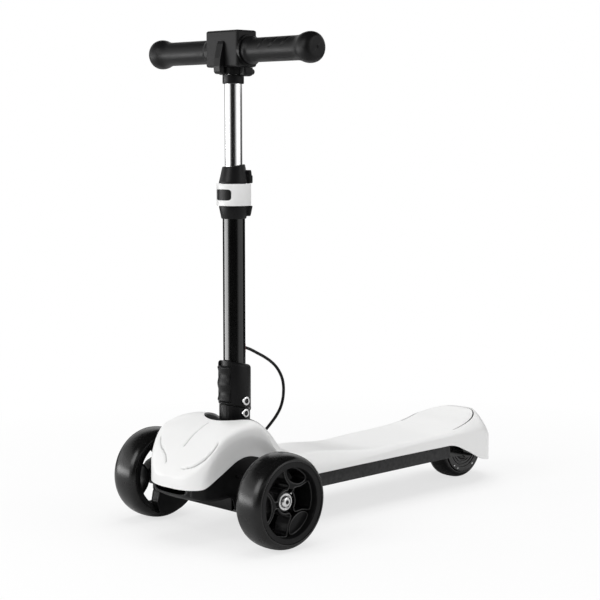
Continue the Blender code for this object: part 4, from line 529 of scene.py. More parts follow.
# %% Block, prism, ribbon and arc
def rounded_block(name, low, high, edge):
    """A block between two drawing corners, with rounded edges."""
    bm = bmesh.new()
    bmesh.ops.create_cube(bm, size=1.0)
    low, high = place(*low), place(*high)
    for vertex in bm.verts:
        vertex.co = Vector((low[k] if vertex.co[k] < 0 else high[k]) for k in range(3))
    bmesh.ops.bevel(bm, geom=bm.edges[:], offset=edge * MM, segments=3, affect="EDGES", profile=0.5)
    return new_object(name, bm)


def prism(outline, low, high):
    """A closed upright prism between two heights, in drawing millimetres."""
    bm = bmesh.new()
    floor_ring = [bm.verts.new(place(x, y, low)) for x, y in outline]
    roof_ring = [bm.verts.new(place(x, y, high)) for x, y in outline]
    bm.faces.new(floor_ring[::-1])
    bm.faces.new(roof_ring)
    join_rows(bm, (floor_ring, roof_ring), around=True)
    return new_object("cutter", bm)


def ribbon(name, line, wall, steps=4):
    """An upright strip along (x, y, low, high) points of the drawing, with a wall in millimetres."""
    bm = bmesh.new()
    columns = []
    for x, y, low, high in line:
        heights = [low + (high - low) * k / steps for k in range(steps + 1)]
        columns.append([bm.verts.new(place(x, y, z)) for z in heights])
    for a, b in zip(columns, columns[1:]):
        for k in range(steps):
            bm.faces.new((a[k], b[k], b[k + 1], a[k + 1]))
    return give_wall(new_object(name, bm), wall)


def ellipse(x, y, a, b, start=0.0, end=360.0, steps=32):
    """Points of an elliptical arc, both ends included, angles in degrees."""
    return [(x + a * math.cos(math.radians(t)), y + b * math.sin(math.radians(t)))
            for t in (start + (end - start) * k / steps for k in range(steps + 1))]


print("points of a quarter arc in 8 steps:", len(ellipse(0, 0, 10, 10, 0, 90, 8)))

# %% [markdown]
# ## The nose cover
# The nose cover arches over the front wheels and hides the leaning gear. Its section is a rounded shell: the
# top runs out to a crease, and below the crease the wall swings inward to clear the wheel. Five drawn lines
# say where the top, the crease and the lower edge are at each place along the scooter.

# %% Lines of the nose cover
NOSE_TIP = -80.0
COVER_END = 112.0
COVER_TOP = [(-80, 84), (-74, 95), (-64, 109), (-50, 122.5), (-35, 133.5), (-12, 144), (12, 147), (35, 146),
             (47, 143.5), (58, 138.5), (70, 130), (81, 119), (91, 107), (100, 98), (112, 92.5)]
COVER_EDGE = [(-80, 70), (-64, 73), (-52, 80), (-38, 88), (-24, 96), (-10, 102.5), (5, 105), (20, 102.5),
              (35, 96), (50, 85), (62, 74), (72, 66), (84, 63), (112, 63)]
COVER_CREASE = [(-80, 77), (-64, 95), (-52, 112), (-40, 124), (-20, 131.5), (0, 133.5), (15, 131), (30, 124),
                (46, 110), (58, 96), (72, 84), (90, 78), (112, 76)]
COVER_LIFT = [(-70, 0), (-56, 5), (-42, 10), (-24, 7), (-4, 4), (20, 3), (40, 0)]
COVER_SCOOP = [(-66, 0), (-46, 6), (-30, 7.5), (25, 7.5), (45, 5), (62, 0)]
COVER_HALF, PLAN_START, PLAN_POWER, RIM_POWER = 62.5, -18.0, 2.8, 4.5
COVER_WALL = 2.4
print("nose cover, length and height of its crown:", COVER_END - NOSE_TIP, max(z for _, z in COVER_TOP))


def cover_half(y):
    """Half width of the cover, round in plan at the front."""
    if y >= PLAN_START:
        return COVER_HALF
    share = min((PLAN_START - y) / (PLAN_START - NOSE_TIP), 1)
    return COVER_HALF * (1 - share ** PLAN_POWER) ** (1 / PLAN_POWER)


# %% [markdown]
# A section takes even steps over most of its top and finer ones where it turns down at the rim. Behind the
# stem the crown is bowed: its edges take their height from further back, as on the real moulding. The rows
# stand closest at the tip, where the plan turns round.

# %% Half section of the nose cover
RIM_FROM = 0.8
TOP_SHARES = [RIM_FROM * k / 34 for k in range(34)]
TOP_SHARES += [RIM_FROM + (1 - RIM_FROM) * math.sin(math.pi / 2 * k / 12) for k in range(13)]
WALL_SHARES = [k / 12 for k in range(1, 13)]
BOW_START, BOW_RUN, BOW = 8.0, 36.0, 44.0


def cover_section(y):
    """Half section at y: the top out to the crease, then the wall that swings in over the wheel."""
    half, crease, edge = cover_half(y), along(COVER_CREASE, y), along(COVER_EDGE, y)
    scoop, lift = along(COVER_SCOOP, y), along(COVER_LIFT, y)
    swept = min(max((y - BOW_START) / BOW_RUN, 0), 1) * BOW
    row = []
    for share in TOP_SHARES:
        reach = half * share / COVER_HALF
        top = along(COVER_TOP, y + swept * reach ** 2) + lift * reach ** 1.5
        fall = (1 - share ** RIM_POWER) ** (1 / RIM_POWER)
        row.append((half * share, y, crease + (max(top, crease) - crease) * fall))
    for share in WALL_SHARES:
        inward = min(scoop, half) * math.sin(math.pi / 2 * min(share * 1.25, 1)) ** 1.4
        row.append((half - inward, y, crease - (crease - edge) * share))
    return row


tip_turns = [math.radians(a) for a in (74, 76, 78, 80, 82, 84, 86, 88, 90)]
cover_stations = [PLAN_START - (PLAN_START - NOSE_TIP) * math.sin(a) ** (2 / PLAN_POWER) for a in tip_turns]
cover_stations = cover_stations[::-1] + steps_between(cover_stations[0] + 1.2, -8, 1.3)
cover_stations += steps_between(-8, COVER_END, 2.6)[1:]
cover_skin = loft([cover_section(y) for y in cover_stations])
print("nose cover rows:", len(cover_stations), "faces:", len(cover_skin.faces))

# %% [markdown]
# Three pressed lines decorate the front: one down the middle, and one along each flank that curls in
# above the nose. After carving, the skin gets its wall, and the slot for the stem and the hole for the
# cable are cut.

# %% Grooves, wall and openings of the nose cover
middle_line = [(0, -10, 144.5), (0, -22, 139.5), (0, -36, 132.5), (0, -46.4, 125.5), (0, -55, 118)]
left_line = [(55.3, -43.6, 132.6), (56, -48.8, 126.2), (54.4, -53.8, 119.8), (51.2, -58.7, 113.8),
             (47.4, -63, 108.4), (42.2, -66.6, 104.2), (35.8, -69.8, 100.2), (25.5, -71.8, 96.9),
             (13.4, -73.7, 95.1)]
right_line = [(-50, -50, 126), (-44, -56, 119), (-37, -60.3, 114), (-30, -62.5, 111), (-21.8, -66.2, 106.5),
              (-17, -69.3, 102), (-13.4, -72.2, 97.7)]
groove_lines = [[place(*p) for p in smooth_line(line, 24)] for line in (middle_line, left_line, right_line)]
GROOVE_HALF, GROOVE_DEPTH, GROOVE_FADE = 2.3, 2.6, 10.0
pressed = carve(cover_skin, groove_lines, GROOVE_HALF, GROOVE_DEPTH, GROOVE_FADE)
nose_cover = give_wall(new_object("nose_cover_skin", cover_skin), COVER_WALL)
slot_outline = ellipse(0, 24, 38, 28, 180, 360, 40)[:-1]
slot_outline += ellipse(18, 34.5, 20, 20, 0, 90, 12) + ellipse(-18, 34.5, 20, 20, 90, 180, 12)[:-1]
cut(nose_cover, prism(slot_outline, 115, 170))
HOLE_LINE = [place(0, 60, 97.5), place(0, 74, 109.5), place(0, 102, 133.5)]
HOLE_RADIUS = CABLE_THICKNESS / 2 + 1.0
cut(nose_cover, tube_mesh("cutter", HOLE_LINE, HOLE_RADIUS * MM, 24))
nose_cover.data.set_sharp_from_angle(angle=math.radians(38))
dress(nose_cover, "white_plastic", "chassis", "nose_cover")
print("pressed vertices:", pressed, "cover faces:", len(nose_cover.data.polygons))

# %% [markdown]
# Under the white cover the nose is closed by a black tray, which shows as a thin lip. It is a bowl that
# follows the cover's own plan, a little smaller.

# %% Tray under the nose
LINER_INSET = 3.0
BOWL_END = -16.0
BOWL_LOW = [(-77, 62), (-66, 55), (-50, 53.5), (-30, 54.5), (-16, 57.3)]


def liner_half(y):
    """Half width of the black liner, inside the cover's wall."""
    return cover_half(y) - along(COVER_SCOOP, y) - LINER_INSET


bowl_rows = []
for y in steps_between(NOSE_TIP + 3.6, BOWL_END, 1.6):
    low = along(BOWL_LOW, y)
    high = min(along(COVER_EDGE, y) + 3, 80)
    row = []
    for k in range(19):
        t = math.radians(5 * k)
        row.append((liner_half(y) * math.sin(t) ** 0.9, y, high - (high - low) * max(math.cos(t), 0) ** 0.3))
    bowl_rows.append(row)
TRAY_WALL = 1.5
nose_tray = give_wall(new_object("nose_tray", loft(bowl_rows)), TRAY_WALL)
dress(nose_tray, "black_plastic", "chassis", "front_tray")
print("nose tray rows:", len(bowl_rows))

# %% [markdown]
# Behind the tray a black inner wall on each side hides the leaning gear from the wheels; its black also
# stands for the shade under the cover that shows through the spokes, so it is partly painted shade. A plate
# closes the gear off to the front. Both are upright sheets: the walls follow the cover's plan, the plate is
# flat.

# %% Inner walls of the wheel arches, and plate in front of the gear
ARCH_LOW = [(-74, 62), (-60, 57), (-40, 55), (-18, 54), (-13, 39), (12, 39), (16, 50), (66, 50)]
ARCH_STATIONS = steps_between(-74, 66, 2.0)
ARCH_WALL = 1.2
for side in (-1, 1):
    line = [(side * liner_half(y), y, along(ARCH_LOW, y), along(COVER_EDGE, y) + 6) for y in ARCH_STATIONS]
    # partly painted shade: the walls also darken what shows through the spokes
    dress(ribbon("arch_wall", line, ARCH_WALL, 6), "black_plastic", "chassis")
dress(rounded_block("gear_front", (-46, -15.2, 37), (46, -13.4, 62), 0.8), "black_plastic", "chassis")
print("stations along an arch wall:", len(ARCH_STATIONS))

# %% [markdown]
# ## The deck and the foot brake
# The deck is one long moulding that dips behind the nose, runs flat under the feet and rises over the rear
# wheel. A U-shaped slot frees a tongue of it: pressing the tongue with the heel brakes the rear wheel. The
# deck and the tongue come from the same skin, so that their surfaces meet without a step.

# %% Lines of the deck
DECK_START, TAIL_END = 104.0, 527.0
DECK_TOP = [(104, 88), (112, 88.5), (130, 89), (160, 88), (200, 83.5), (222, 81), (250, 79.3), (309, 80.3),
            (370, 81.2), (400, 82.8), (430, 88), (455, 96), (475, 101), (490, 102), (501, 100.5), (511, 96.5),
            (520, 89.5), (527, 80)]
DECK_SIDE = [(104, 57.5), (169, 57), (222, 56.6), (309, 57), (370, 58), (405, 60), (440, 62)]
DECK_EDGE = [(104, 64.5), (250, 64.5), (380, 64.5), (397, 64.5), (412, 61), (422, 56.5), (434, 51), (446, 45),
             (459, 39), (475, 33.5), (490, 30), (505, 27.5), (527, 26)]
DECK_CREASE = [(104, 66.5), (130, 67), (201, 69.5), (253, 72.5), (306, 74.5), (358, 76), (400, 77.5),
               (436, 78), (460, 76), (482, 73), (505, 64), (527, 58)]
DECK_SHOULDER = [(104, 26), (130, 25), (201, 20), (253, 14), (306, 9), (400, 9), (430, 14), (455, 21),
                 (480, 28), (500, 34)]
DECK_POWER = [(440, 2.0), (480, 1.45), (495, 1.3)]
TAIL_PLAN, TAIL_MIN_HALF = 440.0, 9.0
DECK_WALL = 2.5
print("deck, length and width:", TAIL_END - DECK_START, 2 * max(half for _, half in DECK_SIDE))


def deck_half(y):
    """Half width of the deck, which rounds off towards the tail's end."""
    if y <= TAIL_PLAN:
        return along(DECK_SIDE, y)
    share = (y - TAIL_PLAN) / (TAIL_END - TAIL_PLAN)
    return max(DECK_SIDE[-1][1] * math.sqrt(max(1 - share ** 2, 0)), TAIL_MIN_HALF)


# %% [markdown]
# The deck's section is flat where the feet stand, turns down over a shoulder and ends in an upright wall.
# The rows stand closer together over the tail, where the height changes most.

# %% Half section of the deck
def deck_section(y, turn_steps=14):
    """Half section at y: flat top, round shoulder and upright wall."""
    half, top, crease = deck_half(y), along(DECK_TOP, y), along(DECK_CREASE, y)
    shoulder = min(along(DECK_SHOULDER, y), half * 0.9)
    power = 2 / along(DECK_POWER, y)
    inner = half - shoulder
    row = [(inner * k / 12, y, top) for k in range(12)]
    for k in range(turn_steps + 1):
        a = math.pi / 2 * k / turn_steps
        row.append((inner + shoulder * math.sin(a) ** power, y,
                    crease + (top - crease) * max(math.cos(a), 0) ** power))
    edge = along(DECK_EDGE, y)
    return row + [(half, y, crease + (edge - crease) * k / 5) for k in range(1, 6)]


deck_stations = steps_between(DECK_START, 380, 6) + steps_between(380, 500, 3)[1:]
deck_stations += [TAIL_PLAN + (TAIL_END - TAIL_PLAN) * math.sin(math.radians(a)) for a in range(45, 81, 3)]
deck_stations = sorted(y for y in deck_stations if y < 525.5) + [TAIL_END]
deck_rows = [deck_section(y) for y in deck_stations]
print("deck rows:", len(deck_rows), "points in a half section:", len(deck_rows[0]))

# %% [markdown]
# The tail ends in a small flat face. It is closed by drawing the last section in towards the middle. The
# finished deck is then copied: a U-shaped prism is cut out of one copy, and the other keeps only what lies
# inside a slightly smaller U. The gap between the two is the slot.

# %% Deck skin, tongue and slot
TONGUE_HALF, TONGUE_REACH = 49.0, 54.0
TONGUE_Y, HINGE_EDGE_Y, HINGE_GAP = 436.0, 412.0, 0.05
SLOT = 1.9


def end_rows(row, count=5):
    """Copies of the last half section, drawn in to the middle line."""
    return [[(x * (1 - k / count), y, z) for x, y, z in row] for k in range(1, count + 1)]


def tongue_outline(grow):
    """U outline of the foot brake, straight across its hinge edge."""
    half = TONGUE_HALF + grow
    arc = ellipse(0, TONGUE_Y, half, TONGUE_REACH + grow, 0, 180, 64)
    return [(half, HINGE_EDGE_Y)] + arc + [(-half, HINGE_EDGE_Y)]


deck = give_wall(new_object("deck_skin", loft(deck_rows + end_rows(deck_rows[-1]))), DECK_WALL)
tongue = deck.copy()
tongue.data = deck.data.copy()
tongue.name = "brake_tongue"
bpy.context.scene.collection.objects.link(tongue)
cut(deck, prism(tongue_outline(SLOT), 70, 120))
seam_y = HINGE_EDGE_Y + HINGE_GAP
cut(tongue, prism([(x, max(y, seam_y)) for x, y in tongue_outline(0)], 70, 120), "INTERSECT")
for piece in (deck, tongue):
    piece.data.set_sharp_from_angle(angle=math.radians(38))
dress(deck, "white_plastic", "chassis", "deck_shell")
dress(tongue, "white_plastic", "foot_brake")
print("deck faces:", len(deck.data.polygons), "tongue faces:", len(tongue.data.polygons))

# %% [markdown]
# Under the tongue sit two lugs, which hold it on its pin, and a pad that presses on the tyre. They are small
# blocks with rounded edges, because little of them is ever seen.

# %% Lugs and pad of the foot brake
for side in (-1, 1):
    near, far = sorted((side * 14.0, side * 18.0))
    lug = rounded_block("tongue_lug", (near, 413, 67), (far, 425, 84), 1.2)
    dress(lug, "white_plastic", "foot_brake", "brake_pedal")
pad = rounded_block("tongue_pad", (-12, 466, 94.6), (12, 481, 99.6), 1.5)
dress(pad, "white_plastic", "foot_brake")

# %% [markdown]
# Two black linings finish the rear, both painted shade. A black strip lines the walls of the brake's slot, so
# that the slot reads as a dark line, as shade would make it. An inner wall follows the side of the tail and
# turns the inside of the moulding black, where shade falls.

# %% Painted shade in the brake slot and inside the tail
def deck_height(x, y):
    """Height of the deck's skin at a place in plan."""
    row = deck_section(y)
    for (x0, _, z0), (x1, _, z1) in zip(row, row[1:]):
        if x0 <= abs(x) <= x1:
            return z0 + (z1 - z0) * (abs(x) - x0) / max(x1 - x0, 1e-6)
    return row[-1][2]


TAIL_WALL_INSET = 3.2
shade_strip_line = []
for x, y in tongue_outline(SLOT - 0.1)[1:-1]:
    height = deck_height(x, y)
    shade_strip_line.append((x, y, height - 3.4, height - 0.35))
# painted shade: a black strip down the walls of the slot
dress(ribbon("slot_shade_strip", shade_strip_line, 0.5), "rubber", "chassis")
for side in (-1, 1):
    wall_line = []
    for y in steps_between(402, 523, 3.0):
        low, high = along(DECK_EDGE, y) + 0.8, along(DECK_CREASE, y) + 2
        wall_line.append((side * (deck_half(y) - TAIL_WALL_INSET), y, low, high))
    # painted shade: a black wall inside the tail
    dress(ribbon("tail_shade_wall", wall_line, 0.8), "black_plastic", "chassis")
print("points along the seal:", len(shade_strip_line))

# %% [markdown]
# ## Turned parts
# Wheels, tubes, bolts and grips are round, so each is one profile turned about an axis. The profile lists
# radius and place along the axis. Many steps round the turn keep a bright edge of light free of corners.

# %% Turn a profile
AXES = {"X": Matrix(((0, 0, 1), (1, 0, 0), (0, 1, 0))), "-X": Matrix(((0, 0, -1), (-1, 0, 0), (0, 1, 0))),
        "Z": Matrix.Identity(3), "Y": Matrix(((0, 1, 0), (0, 0, 1), (1, 0, 0)))}


def turned(name, profile, centre, axis="X", steps=96, closed=False, sharp=35):
    """A profile of (radius, along the axis) in millimetres, turned about an axis through centre."""
    bm = bmesh.new()
    rings = []
    for k in range(steps):
        t = 2 * math.pi * k / steps
        rings.append([bm.verts.new(centre + AXES[axis] @ Vector((r * math.cos(t), r * math.sin(t), a)) * MM)
                      for r, a in profile])
    join_rows(bm, rings + rings[:1], around=closed)
    bmesh.ops.remove_doubles(bm, verts=bm.verts, dist=0.00001)
    bmesh.ops.dissolve_degenerate(bm, edges=bm.edges, dist=0.00001)
    return new_object(name, bm, sharp)


print("axes to turn about:", ", ".join(AXES))

# %% [markdown]
# ## Front wheels
# The tyre is cast on to the rim, with a round crown that stands on a narrow line of floor. The rim shows
# as a flat ring, a little lighter than the tyre. Inside it, three Y-shaped spokes leave three leaves at the
# rim and three wide windows between them. Their thin front edges catch the light.

# %% Tyre and rim
WHEEL_X, WHEEL_R = 119.25, 60.0
crown = smooth_line([(51.2, 21.0), (52.4, 21.7), (54.2, 21.1), (56.6, 18.6), (58.4, 14.6), (59.5, 9.4),
                     (60.0, 3.4)], 5)
crown = [(min(p.x, WHEEL_R), p.y) for p in crown]
tyre_profile = crown + [(r, -a) for r, a in reversed(crown)]
tyre_profile += [(51.2, -15), (48.8, -14), (48.8, 14), (51.2, 15)]
rim_profile = [(50.9, 20.6), (50.9, 15), (48.5, 14), (48.5, -14), (50.9, -15), (50.9, -20.6), (50.2, -21.0),
               (44.1, -20.4), (43.4, -19.4), (43.0, 0), (43.4, 19.4), (44.1, 20.4), (50.2, 21.0)]
wheel_bodies = {1: ("left", "X"), -1: ("right", "-X")}
for side, (side_name, axis) in wheel_bodies.items():
    centre = place(side * WHEEL_X, 0, WHEEL_R)
    tyre = turned("tyre_" + side_name, tyre_profile, centre, axis, 144, closed=True)
    dress(tyre, "tyre", "wheel_" + side_name, "front_tyre_" + side_name)
    rim = turned("rim_" + side_name, rim_profile, centre, axis, 144, closed=True)
    dress(rim, "black_plastic", "wheel_" + side_name)
print("tyre faces:", len(tyre.data.polygons))

# %% [markdown]
# A spoke plate is a flat outline with holes. Blender fills a flat curve with its inner curves as holes and
# gives it a thickness; a bevel on the mesh then rounds the edges. The curve is turned into a mesh at once.

# %% Flat plate with holes
def flat_plate(name, outlines, half, edge, centre, axis="X"):
    """A plate from flat outlines in millimetres, the first one outside and the rest holes."""
    curve = bpy.data.curves.new(name, "CURVE")
    curve.dimensions, curve.fill_mode, curve.extrude = "2D", "BOTH", half * MM
    for outline in outlines:
        spline = curve.splines.new("POLY")
        spline.points.add(len(outline) - 1)
        for point, (x, y) in zip(spline.points, outline):
            point.co = (x * MM, y * MM, 0, 1)
        spline.use_cyclic_u = True
    carrier = bpy.data.objects.new(name, curve)
    bpy.context.scene.collection.objects.link(carrier)
    bpy.context.view_layer.update()
    mesh = bpy.data.meshes.new_from_object(carrier.evaluated_get(bpy.context.evaluated_depsgraph_get()))
    bpy.data.objects.remove(carrier)
    bm = bmesh.new()
    bm.from_mesh(mesh)
    bmesh.ops.remove_doubles(bm, verts=bm.verts, dist=0.00001)
    bmesh.ops.recalc_face_normals(bm, faces=bm.faces[:])
    rims = [e for e in bm.edges if len(e.link_faces) == 2 and e.calc_face_angle(0) > 1.2
            and abs(e.verts[0].co.z - e.verts[1].co.z) < 1e-6]
    bmesh.ops.bevel(bm, geom=rims, offset=edge * MM, segments=2, affect="EDGES", profile=0.5)
    for vertex in bm.verts:
        vertex.co = centre + AXES[axis] @ vertex.co
    return new_object(name, bm)


def polar(points, turn=0.0):
    """Points given as (radius, degrees) as flat (x, y) points."""
    return [(r * math.cos(math.radians(a + turn)), r * math.sin(math.radians(a + turn))) for r, a in points]


def rounded(points, steps=6):
    return [(p.x, p.y) for p in smooth_line(points, steps, closed=True)]


# %% [markdown]
# One leaf and one window are drawn as a few points each, given as radius and angle, and smoothed. Turned
# three times, they make the holes of the spoke plate. The boss in the middle is turned, with small teeth
# round it that stiffen it against the spokes.

# %% Spokes with three leaves and three windows
LEAF = [(42.2, -25), (42.9, -15), (43.1, 0), (42.9, 15), (42.2, 25), (38, 27.5), (32.5, 25.5), (27.5, 18),
        (25, 6), (25, -6), (27.5, -18), (32.5, -25.5), (38, -27.5)]
WINDOW = [(42.4, 35), (43, 45), (43.1, 60), (43, 75), (42.4, 85), (37, 87.5), (29.5, 91), (24.5, 98.5),
          (20.5, 107), (15.5, 103), (14.6, 85), (14.6, 60), (14.6, 35), (15.5, 17), (20.5, 13),
          (24.5, 21.5), (29.5, 29), (37, 32.5)]
outlines = [polar([(44.6, a) for a in range(0, 360, 5)])]
for k in range(3):
    outlines.append(rounded(polar(LEAF, 64 + 120 * k)))
    outlines.append(rounded(polar(WINDOW, 64 + 120 * k)))
outlines.append(polar([(16.9, a) for a in range(0, 360, 6)]))
boss_profile = [(10.9, 8.6), (12.2, 8.6), (12.8, 8.0), (12.8, 3.4), (17.1, 3.0), (17.1, -3.0), (12.8, -3.4),
                (12.8, -8.0), (12.2, -8.6), (10.9, -8.6)]
for side, (side_name, axis) in wheel_bodies.items():
    centre = place(side * WHEEL_X, 0, WHEEL_R)
    wheel = "wheel_" + side_name
    spokes = flat_plate("spokes_" + side_name, outlines, 11.0, 0.55, centre)
    dress(spokes, "black_plastic", wheel, "front_hub_" + side_name)
    boss = turned("boss_" + side_name, boss_profile, centre, axis, 64, closed=True)
    dress(boss, "black_plastic", wheel)
    for k in range(12):
        tooth = polar([(12.6, -3.0), (17.2, -2.2), (17.2, 2.2), (12.6, 3.0)], 30 * k + 15)
        dress(flat_plate("boss_tooth_" + side_name, [tooth], 8.4, 0.35, centre), "black_plastic", wheel)
print("spoke plate faces:", len(spokes.data.polygons))

# %% [markdown]
# Each window and each leaf is framed by a thin raised bead. A bead is a cord of eight sides laid along the
# hole's outline. The beads take a lighter black than the sunk faces, with a stronger shine: the lighter
# colour is a painted highlight along the edges.

# %% Beads round the windows
def bead(name, outline, radius, centre, axis):
    """A thin round cord laid along a closed flat outline."""
    bm = bmesh.new()
    rings = []
    for i, (x, y) in enumerate(outline):
        before, after = outline[i - 1], outline[(i + 1) % len(outline)]
        run = Vector((after[0] - before[0], after[1] - before[1], 0)).normalized()
        offsets = circle(Vector((run.y, -run.x, 0)), Vector((0, 0, 1)), 8)
        rings.append([bm.verts.new(centre + AXES[axis] @ (Vector((x, y, 0)) + radius * offset) * MM)
                      for offset in offsets])
    join_rows(bm, rings + rings[:1], around=True)
    return new_object(name, bm)


# painted highlight: the beads take a lighter black than the spokes, standing for the light on their edges
BEAD_HIGHLIGHT_FINISH = surface("bead_highlight_black_plastic", (0.022, 0.022, 0.022), 0.2, 0.33, 0.05, 2600, 0.01,
                      rubbed=(0.1, 0.1, 0.1), specular=0.4)
BEAD_RADIUS, BEAD_OUT = 0.75, 10.8
for side, (side_name, axis) in wheel_bodies.items():
    front = place(side * (WHEEL_X + BEAD_OUT), 0, WHEEL_R)
    for outline in outlines[1:-1]:
        line = bead("window_bead_" + side_name, outline, BEAD_RADIUS, front, "X")
        dress(line, "black_plastic", "wheel_" + side_name)
        line.data.materials[0] = BEAD_HIGHLIGHT_FINISH
print("beads in each wheel:", len(outlines) - 2)

# %% [markdown]
# Behind each wheel a flat black plate sits on the steering knuckle. It is painted shade: it fills the windows
# with black, where the shade behind the spokes falls. Its front is cut away, so that daylight shows through
# the spokes there. The left plate reaches further round than the right one, because the photo shows no
# daylight in the lower windows of the near wheel.

# %% Shade plates behind the wheels
SHADE_PLATE_X = 93.2
LOWER_END = {1: -146, -1: -132}
outer_edge = [(53, -30 + 5 * k) for k in range(23)] + [(46, 92), (40, 112), (24, 128), (16.5, 140)]
for side, (side_name, axis) in wheel_bodies.items():
    front = LOWER_END[side]
    bore = [(16, angle) for angle in range(140, front - 1, -10)]
    lower_edge = [(24, front), (42, front + 13)] + [(52, angle) for angle in range(front + 24, -34, 6)]
    # painted shade: a black plate behind the spokes
    plate = flat_plate("shade_plate_" + side_name, [polar(outer_edge + bore + lower_edge)], 0.7, 0.3,
                       place(side * SHADE_PLATE_X, 0, WHEEL_R))
    dress(plate, "black_plastic", "steering_" + side_name)
print("dust plate faces:", len(plate.data.polygons))

# %% [markdown]
# The axle ends in a flanged nut: a thin washer, a dark gap, and a domed nut with a hexagon socket. A small
# bright pin beside it is the head of the rivet that keeps the bearing cap in place.

# %% Axle nut, socket and pin
def hexagon(name, centre, radius, depth, axis):
    """A short six-sided plug in black, painted shade at the bottom of a hexagon socket."""
    return turned(name, [(0, depth), (radius, depth), (radius, 0), (0, 0)], centre, axis, 6)


NUT_FACE = 127.05
shank = [(0, NUT_FACE), (4, NUT_FACE), (4, 82.6), (0, 82.6)]
nut_profile = [(2.5, 3.4), (2.8, 4.6), (4.4, 4.6), (5.8, 4.0), (7.0, 2.9), (7.7, 1.4), (7.8, 0.2), (8.9, 0.2),
               (9.1, 1.7), (10.3, 1.7), (10.8, 1.3), (10.8, 0), (2.5, 0)]
for side, (side_name, axis) in wheel_bodies.items():
    steer = "steering_" + side_name
    middle = place(0, 0, WHEEL_R)
    nut_place = place(side * NUT_FACE, 0, WHEEL_R)
    bolt = turned("axle_shank_" + side_name, shank, middle, axis, 32)
    dress(bolt, "steel", steer, "front_axle_" + side_name)
    nut = turned("axle_nut_" + side_name, nut_profile, nut_place, axis, 64, closed=True)
    dress(nut, "steel", steer)
    # black plug: painted shade in the nut's hexagon socket
    dress(hexagon("axle_socket_" + side_name, nut_place, 2.6, 3.5, axis), "black_plastic", steer)
    pin_place = place(side * (WHEEL_X + 8.4), 10.2, WHEEL_R + 9.6)
    pin = turned("hub_pin_" + side_name, [(0, 1.4), (1.3, 1.4), (1.8, 0.8), (1.8, -6), (0, -6)],
                 pin_place, axis, 20)
    dress(pin, "steel", "wheel_" + side_name)
print("nut face at x", NUT_FACE)

# %% [markdown]
# ## Rear wheel
# The rear wheel is a hub motor with a solid tyre. Its side cover is stepped in rings and held by seven small
# screws near the tyre. In front of the wheel two larger screws hold the fork on each side.

# %% Rear tyre, motor side and screws
REAR_Y, REAR_R = 475.0, 46.0
rear_centre = place(0, REAR_Y, REAR_R)
rear_crown = smooth_line([(36.8, 16.6), (38, 17), (40.4, 16.8), (42.8, 15.4), (44.6, 12.4), (45.7, 8),
                          (46, 3)], 5)
rear_crown = [(min(p.x, REAR_R), p.y) for p in rear_crown]
rear_profile = rear_crown + [(r, -a) for r, a in reversed(rear_crown)]
rear_tyre = turned("tyre_rear", rear_profile, rear_centre, "X", 128, closed=True)
dress(rear_tyre, "tyre", "rear_wheel", "rear_tyre")
side_profile = [(5.3, 20.0), (13.5, 20.0), (14.2, 19.2), (15.4, 19.2), (16, 20.0), (17, 19.9), (19, 17.6),
                (20.3, 17.6), (20.8, 18.6), (22.4, 18.6), (22.9, 17.6), (24.6, 17.6), (25.1, 18.6),
                (26.7, 18.6), (27.2, 17.6), (29.2, 17.6), (29.8, 18.5), (35.8, 18.5), (36.5, 17.8),
                (36.5, 0), (5.3, 0)]
motor_screw_profile = [(0, 1.2), (1.0, 1.1), (1.6, 0.6), (1.8, 0), (1.8, -1), (0, -1)]
fork_screw_profile = [(0, 1.4), (1.6, 1.3), (2.4, 0.7), (2.5, 0), (0, 0)]
SCREW_CIRCLE, MOTOR_FACE_X, FORK_FACE_X = 33.2, 18.5, 27.5
for side, axis in ((1, "X"), (-1, "-X")):
    motor_side = turned("motor_side", side_profile, rear_centre, axis, 96, closed=True)
    dress(motor_side, "black_painted", "rear_wheel", "rear_hub", "motor_cover")
    for angle in (-55, -115, -131, 5, 65, 125, 185):
        y, z = polar([(SCREW_CIRCLE, angle)])[0]
        seat = place(side * MOTOR_FACE_X, REAR_Y + y, REAR_R + z)
        dress(turned("motor_screw", motor_screw_profile, seat, axis, 18), "steel", "rear_wheel")
    for y, z in ((403.5, 50.5), (416, 52)):
        seat = place(side * FORK_FACE_X, y, z)
        dress(turned("fork_screw", fork_screw_profile, seat, axis, 20), "steel", "chassis")

# %% [markdown]
# ## Rubber buffers
# Two buffers under the lean block push the stem back upright. Each is a short rubber drum with a waist, a
# small gap shorter than the CAD buffer. A rigid drum would cut into the leaning block as the stem leans.

# %% Buffers of the leaning gear
BUFFER_GAP, BUFFER_PRESS = 1.4, 7.5
for side_name in ("left", "right"):
    low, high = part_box("lean_buffer_" + side_name)
    middle = (low + high) / 2
    reach, length = (high.x - low.x) / 2 / MM, (high.z - low.z) / MM - BUFFER_GAP
    drum = [(0, 0), (reach - 0.8, 0), (reach, 0.8), (reach - 1.2, length / 2), (reach, length - 0.8),
            (reach - 0.8, length), (0, length)]
    drum = [(p.x, p.y) for p in smooth_line(drum, 3)]
    foot = Vector((middle.x, middle.y, low.z))
    buffer = dress(turned("buffer_" + side_name, drum, foot, "Z", 40), "rubber", "chassis",
                   "lean_buffer_" + side_name)
    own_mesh(buffer)
print("buffer height", round(length, 1), "and pressed", round(length - BUFFER_PRESS, 1))

# %% [markdown]
# ## Stem tubes and bolts
# The lower tube is black lacquer, the upper one chrome. Both mirror the cards around the set, and a mirror
# shows every facet, so they are turned again with a fine step. The tubes are open: the upper one slides
# inside the lower one.

# %% Tubes
STEM_Y = 33.0


def stem_turned(name, profile, slot_name, body, *stands_for):
    """A closed profile turned round the stem's axis, and dressed."""
    piece = turned(name, profile, place(0, STEM_Y, 0), "Z", 128, closed=True)
    return dress(piece, slot_name, body, *stands_for)


